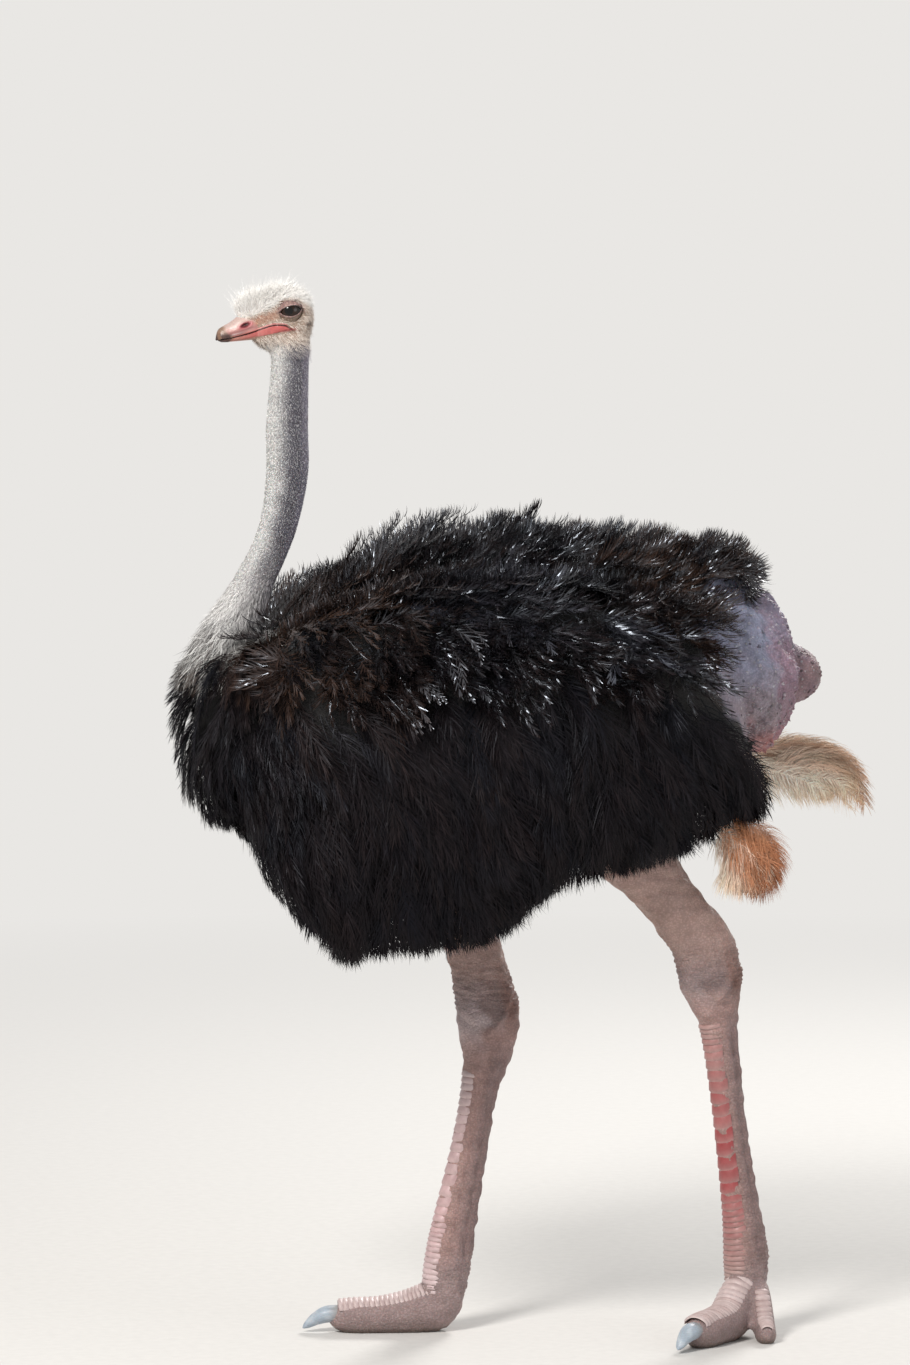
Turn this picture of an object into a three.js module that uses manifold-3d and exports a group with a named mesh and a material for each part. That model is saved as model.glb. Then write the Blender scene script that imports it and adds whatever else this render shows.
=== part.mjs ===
// A life-size male ostrich, standing in mid stride with its neck gently bent.
// Sizes are in millimetres. The bird faces -X, its left side is -Y, and it stands on Z = 0.
import * as THREE from "three";
import { mergeVertices } from "three/addons/utils/BufferGeometryUtils.js";
import Module from "manifold-3d";

const wasm = await Module();
wasm.setup();

// ---- Driving dimensions ----
const GAP = 0.4; // clearance between neighbouring solids
const ORIGIN_SHIFT = new THREE.Vector3(-75.96, 0, 0); // brings the middle of the bounding box to X = 0, Y = 0

const NECK_TOP = [-376, 0, 1812];
const HEAD_PIVOT = new THREE.Vector3(-374, 0, 1845); // the corner of the mouth, at the middle of the head
const HEAD_PITCH = THREE.MathUtils.degToRad(8); // bill below level
const EYE_RADIUS = 21;
const EYE_SIDE = 21.2; // eye centre from the middle of the head
const EYE_HEIGHT = 25; // eye centre above the mouth
const BILL_LENGTH = 141.5; // corner of the mouth to the tip

const HOCK = [59, 43]; // half its depth and half its width

// Each foot: the joint over its toes, how far the big toe points outward, the hock, and stations of the leg between.
const FEET = {
  right: {
    side: 1,
    joint: [-72, 84, 88],
    toeOut: 10,
    hock: [9, 92, 588],
    shin: [
      [-84, 116, 1050, 104, 70],
      [-58, 110, 880, 84, 60],
      [-28, 100, 740, 56, 44],
      [-8, 96, 668, 52, 41],
    ],
    tarsus: [
      [10, 91, 548, 57, 41],
      [7, 90, 500, 46, 36],
      [-6, 89, 437, 34, 29],
      [-24, 87, 337, 34, 26],
      [-50, 85, 212, 40, 27],
      [-62, 84, 150, 43, 33],
    ],
  },
  left: {
    side: -1,
    joint: [452, -74, 128],
    toeOut: 46,
    hock: [380, -88, 650],
    shin: [
      [92, -116, 1080, 104, 70],
      [196, -108, 932, 84, 60],
      [274, -98, 832, 56, 46],
      [332, -92, 758, 54, 42],
      [364, -90, 712, 58, 43],
    ],
    tarsus: [
      [386, -87, 618, 50, 40],
      [394, -86, 580, 38, 33],
      [402, -84, 520, 32, 28],
      [418, -80, 400, 30, 26],
      [437, -76, 260, 33, 28],
      [447, -75, 190, 38, 34],
    ],
  },
};

const COLOURS = {
  plumage: 0x141214,
  plume: 0xd9c3a4,
  down: 0xb9b2ad,
  crown: 0xd8d0c4,
  skin: 0xb59a8e,
  rump: 0xa08c96,
  bill: 0xb98078,
  claw: 0x8d8a84,
  eye: 0x120c0a,
};

// ---- Solids ----
function solidOf(geometry) {
  const bare = geometry.clone();
  bare.deleteAttribute("normal");
  bare.deleteAttribute("uv");
  const merged = mergeVertices(bare, 1e-4);
  const solid = new wasm.Manifold(
    new wasm.Mesh({
      numProp: 3,
      vertProperties: merged.attributes.position.array,
      triVerts: new Uint32Array(merged.index.array),
    }),
  );
  return solid;
}

function geometryOf(solid) {
  const mesh = solid.getMesh();
  const geometry = new THREE.BufferGeometry();
  geometry.setAttribute("position", new THREE.BufferAttribute(mesh.vertProperties, 3));
  geometry.setIndex(new THREE.BufferAttribute(mesh.triVerts, 1));
  geometry.computeVertexNormals();
  return geometry;
}

// How wide a rounded end is, as a share of the full section, at this distance from its pole.
const endShare = (distance, roundLength) =>
  roundLength ? Math.sqrt(1 - (1 - Math.min(1, distance / roundLength)) ** 2) : 1;

// Steps along a tube, closer together at its rounded ends.
function spacing(share, roundStart, roundEnd) {
  if (roundStart && roundEnd) return (1 - Math.cos(Math.PI * share)) / 2;
  if (roundStart) return 1 - Math.cos((Math.PI * share) / 2);
  if (roundEnd) return Math.sin((Math.PI * share) / 2);
  return share;
}

// A closed tube through stations [x, y, z, deep, wide]. deep is its half size in the plane of its path, wide its half
// size along the lateral axis. Rings stand square to the path, or to the axis named square. Both ends are flat, or
// round over a share of the length. shape moves each point.
function tube(stations, options = {}) {
  const { steps = 12, sides = 16, grow = 0, from = 0, to = 1, roundStart = 0, roundEnd = 0, shape } = options;
  const lateral = options.lateral ?? new THREE.Vector3(0, 1, 0);
  const path = new THREE.CatmullRomCurve3(stations.map((s) => new THREE.Vector3(s[0], s[1], s[2])), false, "catmullrom");
  const girth = new THREE.CatmullRomCurve3(stations.map((s) => new THREE.Vector3(s[3], s[4], 0)), false, "catmullrom");
  const points = [];
  const rings = [];
  const addPoint = (p) => points.push(p.x, p.y, p.z) / 3 - 1;

  for (let i = 0; i <= steps; i++) {
    const share = spacing(i / steps, roundStart, roundEnd);
    const t = from + (to - from) * share;
    const centre = path.getPoint(t);
    const along = options.square ?? path.getTangent(t);
    const across = lateral.clone().addScaledVector(along, -lateral.dot(along)).normalize();
    const outward = new THREE.Vector3().crossVectors(across, along).normalize();
    const size = girth.getPoint(t);
    const scale = Math.min(endShare(share, roundStart), endShare(1 - share, roundEnd));
    if (i === 0 || i === steps) centre.addScaledVector(along, (i === 0 ? -1 : 1) * grow);
    if (scale < 1e-6) {
      rings.push([addPoint(centre)]);
      continue;
    }
    const ring = [];
    for (let k = 0; k < sides; k++) {
      const angle = (2 * Math.PI * k) / sides;
      const point = centre
        .clone()
        .addScaledVector(outward, (size.x * scale + grow) * Math.cos(angle))
        .addScaledVector(across, (size.y * scale + grow) * Math.sin(angle));
      if (shape) shape(point, angle, t, grow);
      ring.push(addPoint(point));
    }
    rings.push(ring);
  }

  const faces = [];
  const fan = (ring, centre, flip) =>
    ring.forEach((a, k) => {
      const b = ring[(k + 1) % ring.length];
      faces.push(...(flip ? [a, centre, b] : [a, b, centre]));
    });
  const middle = (ring) => {
    const sum = new THREE.Vector3();
    ring.forEach((a) => sum.add(new THREE.Vector3(points[3 * a], points[3 * a + 1], points[3 * a + 2])));
    return addPoint(sum.divideScalar(ring.length));
  };
  for (let i = 0; i < steps; i++) {
    const [a, b] = [rings[i], rings[i + 1]];
    if (a.length === 1) fan(b, a[0], true);
    else if (b.length === 1) fan(a, b[0], false);
    else
      for (let k = 0; k < sides; k++) {
        const next = (k + 1) % sides;
        faces.push(a[k], a[next], b[next], a[k], b[next], b[k]);
      }
  }
  if (rings[0].length > 1) fan(rings[0], middle(rings[0]), true);
  if (rings[steps].length > 1) fan(rings[steps], middle(rings[steps]), false);

  const geometry = new THREE.BufferGeometry();
  geometry.setAttribute("position", new THREE.Float32BufferAttribute(points, 3));
  geometry.setIndex(faces);
  const solid = solidOf(geometry);
  if (solid.volume() > 0) return solid;
  const turned = [];
  for (let i = 0; i < faces.length; i += 3) turned.push(faces[i], faces[i + 2], faces[i + 1]);
  geometry.setIndex(turned);
  return solidOf(geometry);
}

// ---- Head ----
// A point of the head, this far forward of the mouth's corner and this far above the mouth.
function headPoint(forward, height) {
  return [
    HEAD_PIVOT.x - forward * Math.cos(HEAD_PITCH) - height * Math.sin(HEAD_PITCH),
    0,
    HEAD_PIVOT.z - forward * Math.sin(HEAD_PITCH) + height * Math.cos(HEAD_PITCH),
  ];
}

// A station of the head from its top and bottom heights.
const headStation = (forward, top, bottom, wide) => [
  ...headPoint(forward, (top + bottom) / 2),
  (top - bottom) / 2,
  wide,
];

const headSolid = (grow = 0) =>
  tube(
    [
      headStation(-46, 42, -4, 24),
      headStation(-32, 62, -28, 33),
      headStation(-10, 73, -42, 38),
      headStation(14, 79, -45, 38),
      headStation(36, 80, -43, 36),
      headStation(60, 75, -32, 32),
      headStation(82, 58, -20, 28),
      headStation(102, 36, -13, 23),
    ],
    { steps: 12, sides: 16, grow, roundStart: 0.28, roundEnd: 0.12 },
  );

const billUpper = (grow = 0) =>
  tube(
    [
      headStation(50, 22, 0.4, 23),
      headStation(85, 27, 0.4, 23),
      headStation(112, 19, 0.4, 19),
      headStation(132, 10, 0, 15),
      headStation(BILL_LENGTH, 5, -6, 11),
    ],
    { steps: 9, sides: 12, grow, roundEnd: 0.16 },
  );

const billLower = (grow = 0) =>
  tube(
    [
      headStation(50, -0.4, -17, 22),
      headStation(85, -0.4, -15, 21),
      headStation(112, -0.6, -13, 17),
      headStation(138, -7, -13, 11),
    ],
    { steps: 7, sides: 12, grow, roundEnd: 0.16 },
  );

function eyeSolid(side, grow = 0) {
  const [x, , z] = headPoint(0, EYE_HEIGHT);
  const ball = new THREE.SphereGeometry(EYE_RADIUS + grow, 12, 9);
  ball.translate(x, side * EYE_SIDE, z);
  return solidOf(ball);
}

// ---- Neck ----
const NECK = [
  [...NECK_TOP, 39, 35],
  [-379, 0, 1736, 39, 34],
  [-383, 0, 1660, 42, 36],
  [-383, 0, 1577, 42, 36],
  [-397, 0, 1492, 38, 35],
  [-420, 0, 1430, 37, 35],
  [-456, 0, 1361, 40, 39],
  [-492, 0, 1290, 46, 46],
  [-516, 0, 1210, 60, 64],
];
const NECK_CUTS = [0, 0.3, 0.62, 1];
const NECK_NAMES = ["neck_upper", "neck_middle", "neck_lower"];

const neckSolid = (i, grow = 0) =>
  tube(NECK, {
    steps: 6,
    sides: 14,
    grow,
    from: NECK_CUTS[i] + (i ? 0.0004 : 0),
    to: NECK_CUTS[i + 1],
  });

// ---- Body ----
const LENGTHWISE = new THREE.Vector3(1, 0, 0);

// A station of the body from its top and bottom heights.
const bodyStation = (x, top, bottom, wide, y = 0) => [x, y, (top + bottom) / 2, (top - bottom) / 2, wide];

const trunkCore = (grow) =>
  tube(
    [
      bodyStation(-430, 1332, 915, 178),
      bodyStation(-360, 1368, 888, 214),
      bodyStation(-250, 1412, 868, 240),
      bodyStation(-100, 1472, 858, 256),
      bodyStation(60, 1472, 852, 256),
      bodyStation(200, 1458, 856, 246),
      bodyStation(320, 1440, 890, 226),
      bodyStation(400, 1428, 965, 194),
      bodyStation(440, 1418, 1030, 166),
    ],
    { steps: 13, sides: 22, grow, roundEnd: 0.06, square: LENGTHWISE },
  );

// Feathers of the back that hang over the bare rump.
const rumpCoverts = (grow) =>
  tube(
    [
      bodyStation(340, 1434, 1330, 150),
      bodyStation(420, 1426, 1350, 126),
      bodyStation(492, 1400, 1352, 80),
    ],
    { steps: 6, sides: 16, grow, roundEnd: 0.2, square: LENGTHWISE },
  );

const trunkSolid = (grow = 0) => trunkCore(grow).add(rumpCoverts(grow));

const breastSolid = (grow = 0) =>
  tube(
    [
      bodyStation(-588, 1240, 1030, 130),
      bodyStation(-550, 1284, 960, 152),
      bodyStation(-500, 1306, 925, 176),
      bodyStation(-420, 1338, 896, 200),
    ],
    { steps: 7, sides: 20, grow, roundStart: 0.5, square: LENGTHWISE },
  );

const rumpSolid = (grow = 0) =>
  tube(
    [
      bodyStation(380, 1372, 1020, 176),
      bodyStation(450, 1372, 1022, 170),
      bodyStation(510, 1338, 1048, 142),
      bodyStation(556, 1262, 1082, 100),
      bodyStation(582, 1215, 1110, 66),
    ],
    { steps: 8, sides: 18, grow, roundEnd: 0.12, square: LENGTHWISE },
  );

const tailSolid = (grow = 0) =>
  tube(
    [
      [520, 0, 1210, 48, 66],
      [560, 0, 1186, 46, 58],
      [604, 0, 1158, 36, 46],
    ],
    { steps: 7, sides: 14, grow, roundEnd: 0.4 },
  );

// Feather tips along a wing's hem, as lobes of this length and drop.
const HEM_LOBE = 96;
const HEM_DROP = 24;
function hemLobes(point, angle) {
  const low = Math.max(0, Math.cos(angle));
  point.z -= HEM_DROP * low * Math.abs(Math.sin((Math.PI * point.x) / HEM_LOBE));
}

// Hem heights of each wing at its stations. The right wing is drawn up in front, over the leg that strides ahead.
const HEMS = {
  left: [960, 884, 806, 728, 742, 730, 760, 852, 886, 906, 960, 976],
  right: [1010, 964, 906, 816, 762, 740, 764, 852, 886, 906, 960, 976],
};

// A folded wing with the long flank plumage that hangs with it.
function wingSolid(name, grow = 0) {
  const side = name === "left" ? -1 : 1;
  const stations = [
    [-505, 1262, 50, 130],
    [-470, 1310, 72, 158],
    [-420, 1342, 86, 184],
    [-340, 1370, 94, 208],
    [-265, 1388, 97, 220],
    [-150, 1406, 98, 226],
    [-60, 1410, 98, 228],
    [40, 1406, 96, 228],
    [160, 1394, 94, 220],
    [290, 1362, 88, 206],
    [380, 1306, 78, 188],
    [470, 1194, 58, 172],
  ];
  return tube(
    stations.map(([x, top, thick, y], i) => bodyStation(x, top, HEMS[name][i], thick, side * y)),
    {
      steps: 22,
      sides: 14,
      grow,
      roundStart: 0.06,
      roundEnd: 0.05,
      square: LENGTHWISE,
      shape: hemLobes,
    },
  );
}

// White quill plumes at the rear end of each wing. The right wing's trail out behind the body.
const PLUMES = {
  left: [
    [372, -166, 965, 44, 26],
    [420, -176, 908, 58, 34],
    [444, -180, 862, 52, 32],
    [430, -178, 822, 20, 14],
  ],
  right: [
    [440, 150, 1060, 50, 30],
    [530, 162, 1012, 84, 42],
    [610, 172, 1008, 60, 42],
    [690, 178, 985, 46, 34],
    [735, 180, 925, 20, 16],
  ],
};
const plumeSolid = (name, grow = 0) =>
  tube(PLUMES[name], { steps: 8, sides: 12, grow, roundStart: 0.1, roundEnd: 0.22 });

// ---- Legs ----
const hockStation = ({ hock }, ahead, above, deep, wide) => [hock[0] - ahead, hock[1], hock[2] + above, deep, wide];

// The shin, from the knee inside the flank to the hock.
const thighSolid = (foot, grow = 0) =>
  tube([...foot.shin, hockStation(foot, 0, 0, ...HOCK)], {
    steps: 9,
    sides: 14,
    grow,
    roundStart: 0.2,
    to: 0.9995,
  });

// The shank, from the hock down into the foot.
const shankSolid = (foot, grow = 0) => {
  const [x, y, z] = foot.joint;
  const stations = [hockStation(foot, 0, 0, ...HOCK), ...foot.tarsus, [x, y, z, 41, 38], [x - 4, y, z - 52, 34, 33]];
  return tube(stations, { steps: 13, sides: 12, grow, roundEnd: 0.05 });
};

// A point of a foot, this far ahead of its joint along its big toe, this far outward, and at this height.
function footPoint(foot, ahead, outward, height, turn = 0) {
  const angle = THREE.MathUtils.degToRad(foot.toeOut + turn);
  return [
    foot.joint[0] - ahead * Math.cos(angle) + outward * Math.sin(angle),
    foot.joint[1] + foot.side * (ahead * Math.sin(angle) + outward * Math.cos(angle)),
    height,
  ];
}

function toeAxis(foot, turn = 0) {
  const angle = THREE.MathUtils.degToRad(foot.toeOut + turn);
  return new THREE.Vector3(Math.sin(angle), foot.side * Math.cos(angle), 0);
}

// Soles are flat on the ground.
function flatSole(point, angle, t, grow) {
  point.z = Math.max(point.z, -grow);
}

function bigToeSolid(foot, grow = 0) {
  const rise = foot.joint[2];
  return tube(
    [
      [...footPoint(foot, -26, 0, rise * 0.7), 44, 36],
      [...footPoint(foot, 28, 0, rise * 0.48), 47, 38],
      [...footPoint(foot, 72, 0, 33), 41, 38],
      [...footPoint(foot, 120, 0, 29), 37, 36],
      [...footPoint(foot, 166, 0, 26), 34, 33],
      [...footPoint(foot, 200, 0, 25), 31, 27],
    ],
    {
      steps: 10,
      sides: 12,
      grow,
      roundStart: 0.2,
      roundEnd: 0.16,
      lateral: toeAxis(foot),
      shape: flatSole,
    },
  );
}

const OUTER_TOE_TURN = 38; // degrees outward from the big toe
function outerToeSolid(foot, grow = 0) {
  const rise = foot.joint[2];
  const at = (ahead, outward, height) => footPoint(foot, ahead, outward, height, OUTER_TOE_TURN);
  return tube(
    [
      [...at(-6, 16, rise * 0.8), 26, 22],
      [...at(34, 20, rise * 0.5), 26, 21],
      [...at(76, 20, 20), 27, 21],
      [...at(112, 18, 16), 23, 19],
      [...at(132, 16, 14), 19, 15],
    ],
    {
      steps: 8,
      sides: 10,
      grow,
      roundStart: 0.2,
      roundEnd: 0.25,
      lateral: toeAxis(foot, OUTER_TOE_TURN),
      shape: flatSole,
    },
  );
}

const clawSolid = (foot, grow = 0) =>
  tube(
    [
      [...footPoint(foot, 176, 0, 34), 15, 17],
      [...footPoint(foot, 206, 0, 34), 16, 17],
      [...footPoint(foot, 232, 0, 23), 11, 12],
      [...footPoint(foot, 251, 0, 6), 4, 4],
    ],
    { steps: 7, sides: 10, grow, roundEnd: 0.12, lateral: toeAxis(foot), shape: flatSole },
  );

// ---- The bird ----
const ostrich = new THREE.Group();
ostrich.name = "ostrich";
ostrich.position.copy(ORIGIN_SHIFT);

function add(name, solid, colour, roughness = 0.7) {
  const pieces = solid.decompose().sort((a, b) => b.volume() - a.volume());
  const material = new THREE.MeshStandardMaterial({ color: COLOURS[colour], roughness, metalness: 0 });
  const mesh = new THREE.Mesh(geometryOf(pieces[0]), material);
  mesh.name = name;
  ostrich.add(mesh);
}

const without = (solid, ...cutters) => cutters.reduce((left, cutter) => left.subtract(cutter), solid);

function addHead() {
  const eyes = [eyeSolid(-1, GAP), eyeSolid(1, GAP)];
  add("head", without(headSolid(), billUpper(GAP), billLower(GAP), ...eyes), "crown");
  add("bill_upper", billUpper(), "bill", 0.45);
  add("bill_lower", without(billLower(), billUpper(GAP)), "bill", 0.45);
  add("eye_left", eyeSolid(-1), "eye", 0.1);
  add("eye_right", eyeSolid(1), "eye", 0.1);
}

function addNeck() {
  NECK_NAMES.forEach((name, i) => {
    const neighbours = [headSolid(GAP), breastSolid(GAP), trunkSolid(GAP)];
    add(name, without(neckSolid(i), ...neighbours), "down");
  });
}

function addBody() {
  const legs = Object.values(FEET).map((foot) => thighSolid(foot, GAP));
  add("breast", without(breastSolid(), trunkSolid(GAP)), "plumage");
  add("trunk", trunkSolid(), "plumage");
  add("rump", without(rumpSolid(), trunkSolid(GAP)), "rump");
  add("tail", without(tailSolid(), rumpSolid(GAP)), "rump");
  const neck = neckSolid(2, GAP);
  const core = [trunkSolid(GAP), breastSolid(GAP), rumpSolid(GAP), neck, ...legs];
  for (const name of ["left", "right"]) {
    add("wing_" + name, without(wingSolid(name), ...core), "plumage");
    add("wing_plumes_" + name, without(plumeSolid(name), wingSolid(name, 2 * GAP), ...core), "plume");
  }
}

function addLegs() {
  for (const [name, foot] of Object.entries(FEET)) {
    add("thigh_" + name, without(thighSolid(foot), trunkSolid(GAP)), "skin");
    add("shank_" + name, without(shankSolid(foot), thighSolid(foot, GAP)), "skin");
    const bigToe = without(bigToeSolid(foot), shankSolid(foot, GAP), clawSolid(foot, GAP));
    add("big_toe_" + name, bigToe, "skin");
    add("outer_toe_" + name, without(outerToeSolid(foot), shankSolid(foot, GAP), bigToeSolid(foot, GAP)), "skin");
    add("claw_" + name, clawSolid(foot), "claw", 0.4);
  }
}

addHead();
addNeck();
addBody();
addLegs();

export default ostrich;
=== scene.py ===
"""A life-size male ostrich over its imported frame: skin, bill, eyes, claws, plumage, pale plumes and down."""

import math

import bmesh
import bpy
import numpy as np
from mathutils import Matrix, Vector
from mathutils.bvhtree import BVHTree


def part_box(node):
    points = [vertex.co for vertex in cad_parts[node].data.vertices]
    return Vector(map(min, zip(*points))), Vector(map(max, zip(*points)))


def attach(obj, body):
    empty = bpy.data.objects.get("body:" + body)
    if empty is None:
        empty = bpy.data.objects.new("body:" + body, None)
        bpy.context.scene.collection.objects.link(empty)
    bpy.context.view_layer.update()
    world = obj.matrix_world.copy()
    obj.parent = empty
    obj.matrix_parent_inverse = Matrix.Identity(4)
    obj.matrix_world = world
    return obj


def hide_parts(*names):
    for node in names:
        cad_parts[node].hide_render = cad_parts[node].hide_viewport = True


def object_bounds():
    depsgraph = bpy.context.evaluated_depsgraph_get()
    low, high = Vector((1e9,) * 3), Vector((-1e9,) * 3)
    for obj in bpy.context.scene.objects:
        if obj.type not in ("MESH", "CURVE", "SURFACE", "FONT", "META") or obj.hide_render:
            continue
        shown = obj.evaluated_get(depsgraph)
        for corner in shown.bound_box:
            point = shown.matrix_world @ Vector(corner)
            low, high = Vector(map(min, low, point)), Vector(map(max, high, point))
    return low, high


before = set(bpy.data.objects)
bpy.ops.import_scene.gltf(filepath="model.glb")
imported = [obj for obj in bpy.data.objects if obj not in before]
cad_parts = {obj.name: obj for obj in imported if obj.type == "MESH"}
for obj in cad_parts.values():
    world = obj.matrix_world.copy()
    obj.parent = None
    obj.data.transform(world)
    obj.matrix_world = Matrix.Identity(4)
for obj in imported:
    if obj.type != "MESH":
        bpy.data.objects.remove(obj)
CAD_BOX = [list(corner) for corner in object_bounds()]

# ---- Driving sizes, in metres. The bird faces -X, its left side is -Y, and it stands on Z = 0. ----
MM = 0.001
MIDDLE = -0.07596  # X of the leg line from which the lengths below are counted
COAT_DEPTH = 0.045  # plumage over the skin of the body
DOWN_DEPTH = 0.004  # down over the skin of the neck
UP = np.array([0.0, 0.0, 1.0])
ACROSS = np.array([0.0, 1.0, 0.0])
BACKWARD = np.array([1.0, 0.0, 0.0])
CIRCLE = 2 * math.pi

MOUTH = (-374, 1845)  # X and Z of the mouth's corner, in millimetres
HEAD_PITCH = math.radians(8)
SIDES = {"left": -1, "right": 1}


# ---- Curves and lofts ----
def unit(v):
    """The vectors v at length one."""
    return v / np.maximum(np.linalg.norm(v, axis=-1, keepdims=True), 1e-12)


def mix(a, b, share):
    return a + (b - a) * share


def ease(x, low, high):
    """0 below low, 1 above high, smooth between them."""
    t = np.clip((x - low) / (high - low), 0, 1)
    return t * t * (3 - 2 * t)


def fall(x, low, high):
    """1 below low, 0 above high, smooth between them."""
    return 1 - ease(x, low, high)


def bell(x, middle, width):
    """1 at the middle, falling away smoothly on both sides."""
    return np.exp(-(((x - middle) / width) ** 2))


def spline(points, t):
    """Points on the Catmull-Rom curve through points, at shares t of it."""
    points = np.asarray(points, float)
    padded = np.vstack([2 * points[0] - points[1], points, 2 * points[-1] - points[-2]])
    place = np.clip(t, 0, 1) * (len(points) - 1)
    i = np.minimum(place.astype(int), len(points) - 2)
    f = (place - i)[..., None]
    p0, p1, p2, p3 = (padded[i + k] for k in range(4))
    straight = 2 * p1 + (p2 - p0) * f
    return 0.5 * (straight + (2 * p0 - 5 * p1 + 4 * p2 - p3) * f**2 + (3 * p1 - p0 - 3 * p2 + p3) * f**3)


def angles(count):
    """Angles spread evenly round a circle, as one row."""
    return (np.arange(count) * CIRCLE / count)[None]


def grid_faces(rows, columns, closed=True):
    """Quads between the points of a grid, whose rows are rings or, if not closed, open lines."""
    i, k = np.meshgrid(np.arange(rows - 1), np.arange(columns if closed else columns - 1), indexing="ij")
    a, b = i * columns + k, i * columns + (k + 1) % columns
    return np.stack([a, b, b + columns, a + columns], -1).reshape(-1, 4)


def loft(rings):
    """A closed mesh of points and triangles from rings (n, k, 3), with its ends closed to their middles."""
    n, k = rings.shape[:2]
    points = np.vstack([rings.reshape(-1, 3), rings[0].mean(0)[None], rings[-1].mean(0)[None]])
    walls = grid_faces(n, k)
    first = np.arange(k)
    last = first + (n - 1) * k
    start = np.stack([np.roll(first, -1), first, np.full(k, n * k)], -1)
    end = np.stack([last, np.roll(last, -1), np.full(k, n * k + 1)], -1)
    return points, np.concatenate([walls[:, [0, 1, 2]], walls[:, [0, 2, 3]], start, end])


class Tube:
    """A lofted body part through stations [x, y, z, deep, wide] in millimetres, x counted from MIDDLE."""

    def __init__(self, stations, inset=0.0, lateral=ACROSS, square=None):
        self.stations = np.array(stations, float) * MM
        self.stations[:, 0] += MIDDLE
        self.stations[:, 3:] -= inset
        self.lateral = np.asarray(lateral, float)
        self.square = square

    def axes(self, t):
        """The centre, the sizes, and the outward, across and along axes at shares t of the length."""
        data = spline(self.stations, t)
        if self.square is None:
            path = self.stations[:, :3]
            along = unit(spline(path, np.minimum(t + 0.004, 1)) - spline(path, np.maximum(t - 0.004, 0)))
        else:
            along = np.broadcast_to(self.square, data[..., :3].shape)
        across = unit(self.lateral - along * (along @ self.lateral)[..., None])
        outward = unit(np.cross(across, along))
        return data[..., :3], data[..., 3:4], data[..., 4:5], outward, across, along

    def surface(self, t, angle, proud):
        """Points at shares t and angles, this far proud of the tube."""
        centre, deep, wide, outward, across, _ = self.axes(t)
        c, s = np.cos(angle)[..., None], np.sin(angle)[..., None]
        normal = unit(outward * c / deep + across * s / wide)
        return centre + outward * deep * c + across * wide * s + normal * proud[..., None]

    def closed(self, steps, sides, round_start=0.0, round_end=0.0):
        """A closed mesh of the tube, with its ends rounded over shares of its length."""
        t = np.linspace(0, 1, steps + 1)
        if round_start:
            t = (1 - np.cos(t * math.pi)) / 2 if round_end else 1 - np.cos(t * math.pi / 2)
        elif round_end:
            t = np.sin(t * math.pi / 2)
        size = np.ones_like(t)
        for share, near in ((round_start, t), (round_end, 1 - t)):
            if share:
                size *= np.sqrt(1 - (1 - np.minimum(1, near / share)) ** 2)
        centre, deep, wide, outward, across, _ = self.axes(t)
        size = np.maximum(size, 0.02)[:, None]
        c, s = np.cos(angles(sides))[..., None], np.sin(angles(sides))[..., None]
        rings = (outward * deep * size)[:, None] * c + (across * wide * size)[:, None] * s
        return loft(rings + centre[:, None])


def level_with(points, line):
    """The index of the point of a line that is nearest in height to each point."""
    return np.abs(points[:, 2:3] - line[None, :, 2]).argmin(1)


def smooth_noise(points, scale, seed):
    """Soft noise from -1 to 1 about, made of a few turned waves."""
    source = np.random.default_rng(seed)
    total = np.zeros(points.shape[:-1])
    for _ in range(7):
        wave = unit(source.normal(size=3)) / scale * source.uniform(0.6, 1.6)
        total += np.sin(points @ wave * CIRCLE + source.uniform(0, CIRCLE))
    return total / 3.2


# ---- Meshes ----
def mesh_object(name, points, faces, material=None, tint=None):
    """An object from arrays of points, of faces that all have as many corners, and of colours."""
    corners = faces.shape[1]
    mesh = bpy.data.meshes.new(name)
    mesh.vertices.add(len(points))
    mesh.vertices.foreach_set("co", np.ascontiguousarray(points, np.float32).ravel())
    mesh.loops.add(faces.size)
    mesh.loops.foreach_set("vertex_index", np.ascontiguousarray(faces, np.int32).ravel())
    mesh.polygons.add(len(faces))
    mesh.polygons.foreach_set("loop_start", np.arange(len(faces), dtype=np.int32) * corners)
    mesh.polygons.foreach_set("use_smooth", np.full(len(faces), True))
    mesh.update(calc_edges=True)
    if material:
        mesh.materials.append(material)
    obj = bpy.data.objects.new(name, mesh)
    bpy.context.scene.collection.objects.link(obj)
    if tint is not None:
        set_tint(obj, tint)
    return obj


def closed_object(name, points, faces, material, tint):
    """An object from a closed mesh, whose faces are turned outward."""
    return mesh_object(name, points, outward_faces(points, faces), material, tint)


def outward_faces(points, faces):
    """The faces of a closed mesh, turned so that they face out."""
    a, b, c = (points[faces[:, k]] - points.mean(0) for k in range(3))
    return faces if (np.cross(a, b) * c).sum() > 0 else faces[:, ::-1]


def vectors_of(collection, name):
    """The vectors that a mesh's collection holds under a name."""
    flat = np.empty(len(collection) * 3, np.float32)
    collection.foreach_get(name, flat)
    return flat.reshape(-1, 3).astype(float)


def corners_of(mesh):
    return [list(face.vertices) for face in mesh.polygons]


def points_of(obj):
    return vectors_of(obj.data.vertices, "co")


def normals_of(obj):
    return vectors_of(obj.data.vertex_normals, "vector")


def set_points(obj, points):
    obj.data.vertices.foreach_set("co", points.astype(np.float32).ravel())
    obj.data.update()


def set_tint(obj, colours, grain=1.0):
    """Stores one colour for each point and how grainy it is, which the materials read."""
    rgba = np.ones((len(colours), 4), np.float32)
    rgba[:, :3] = colours
    rgba[:, 3] = grain
    attribute = obj.data.attributes.new("Tint", "FLOAT_COLOR", "POINT")
    attribute.data.foreach_set("color", rgba.ravel())


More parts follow.
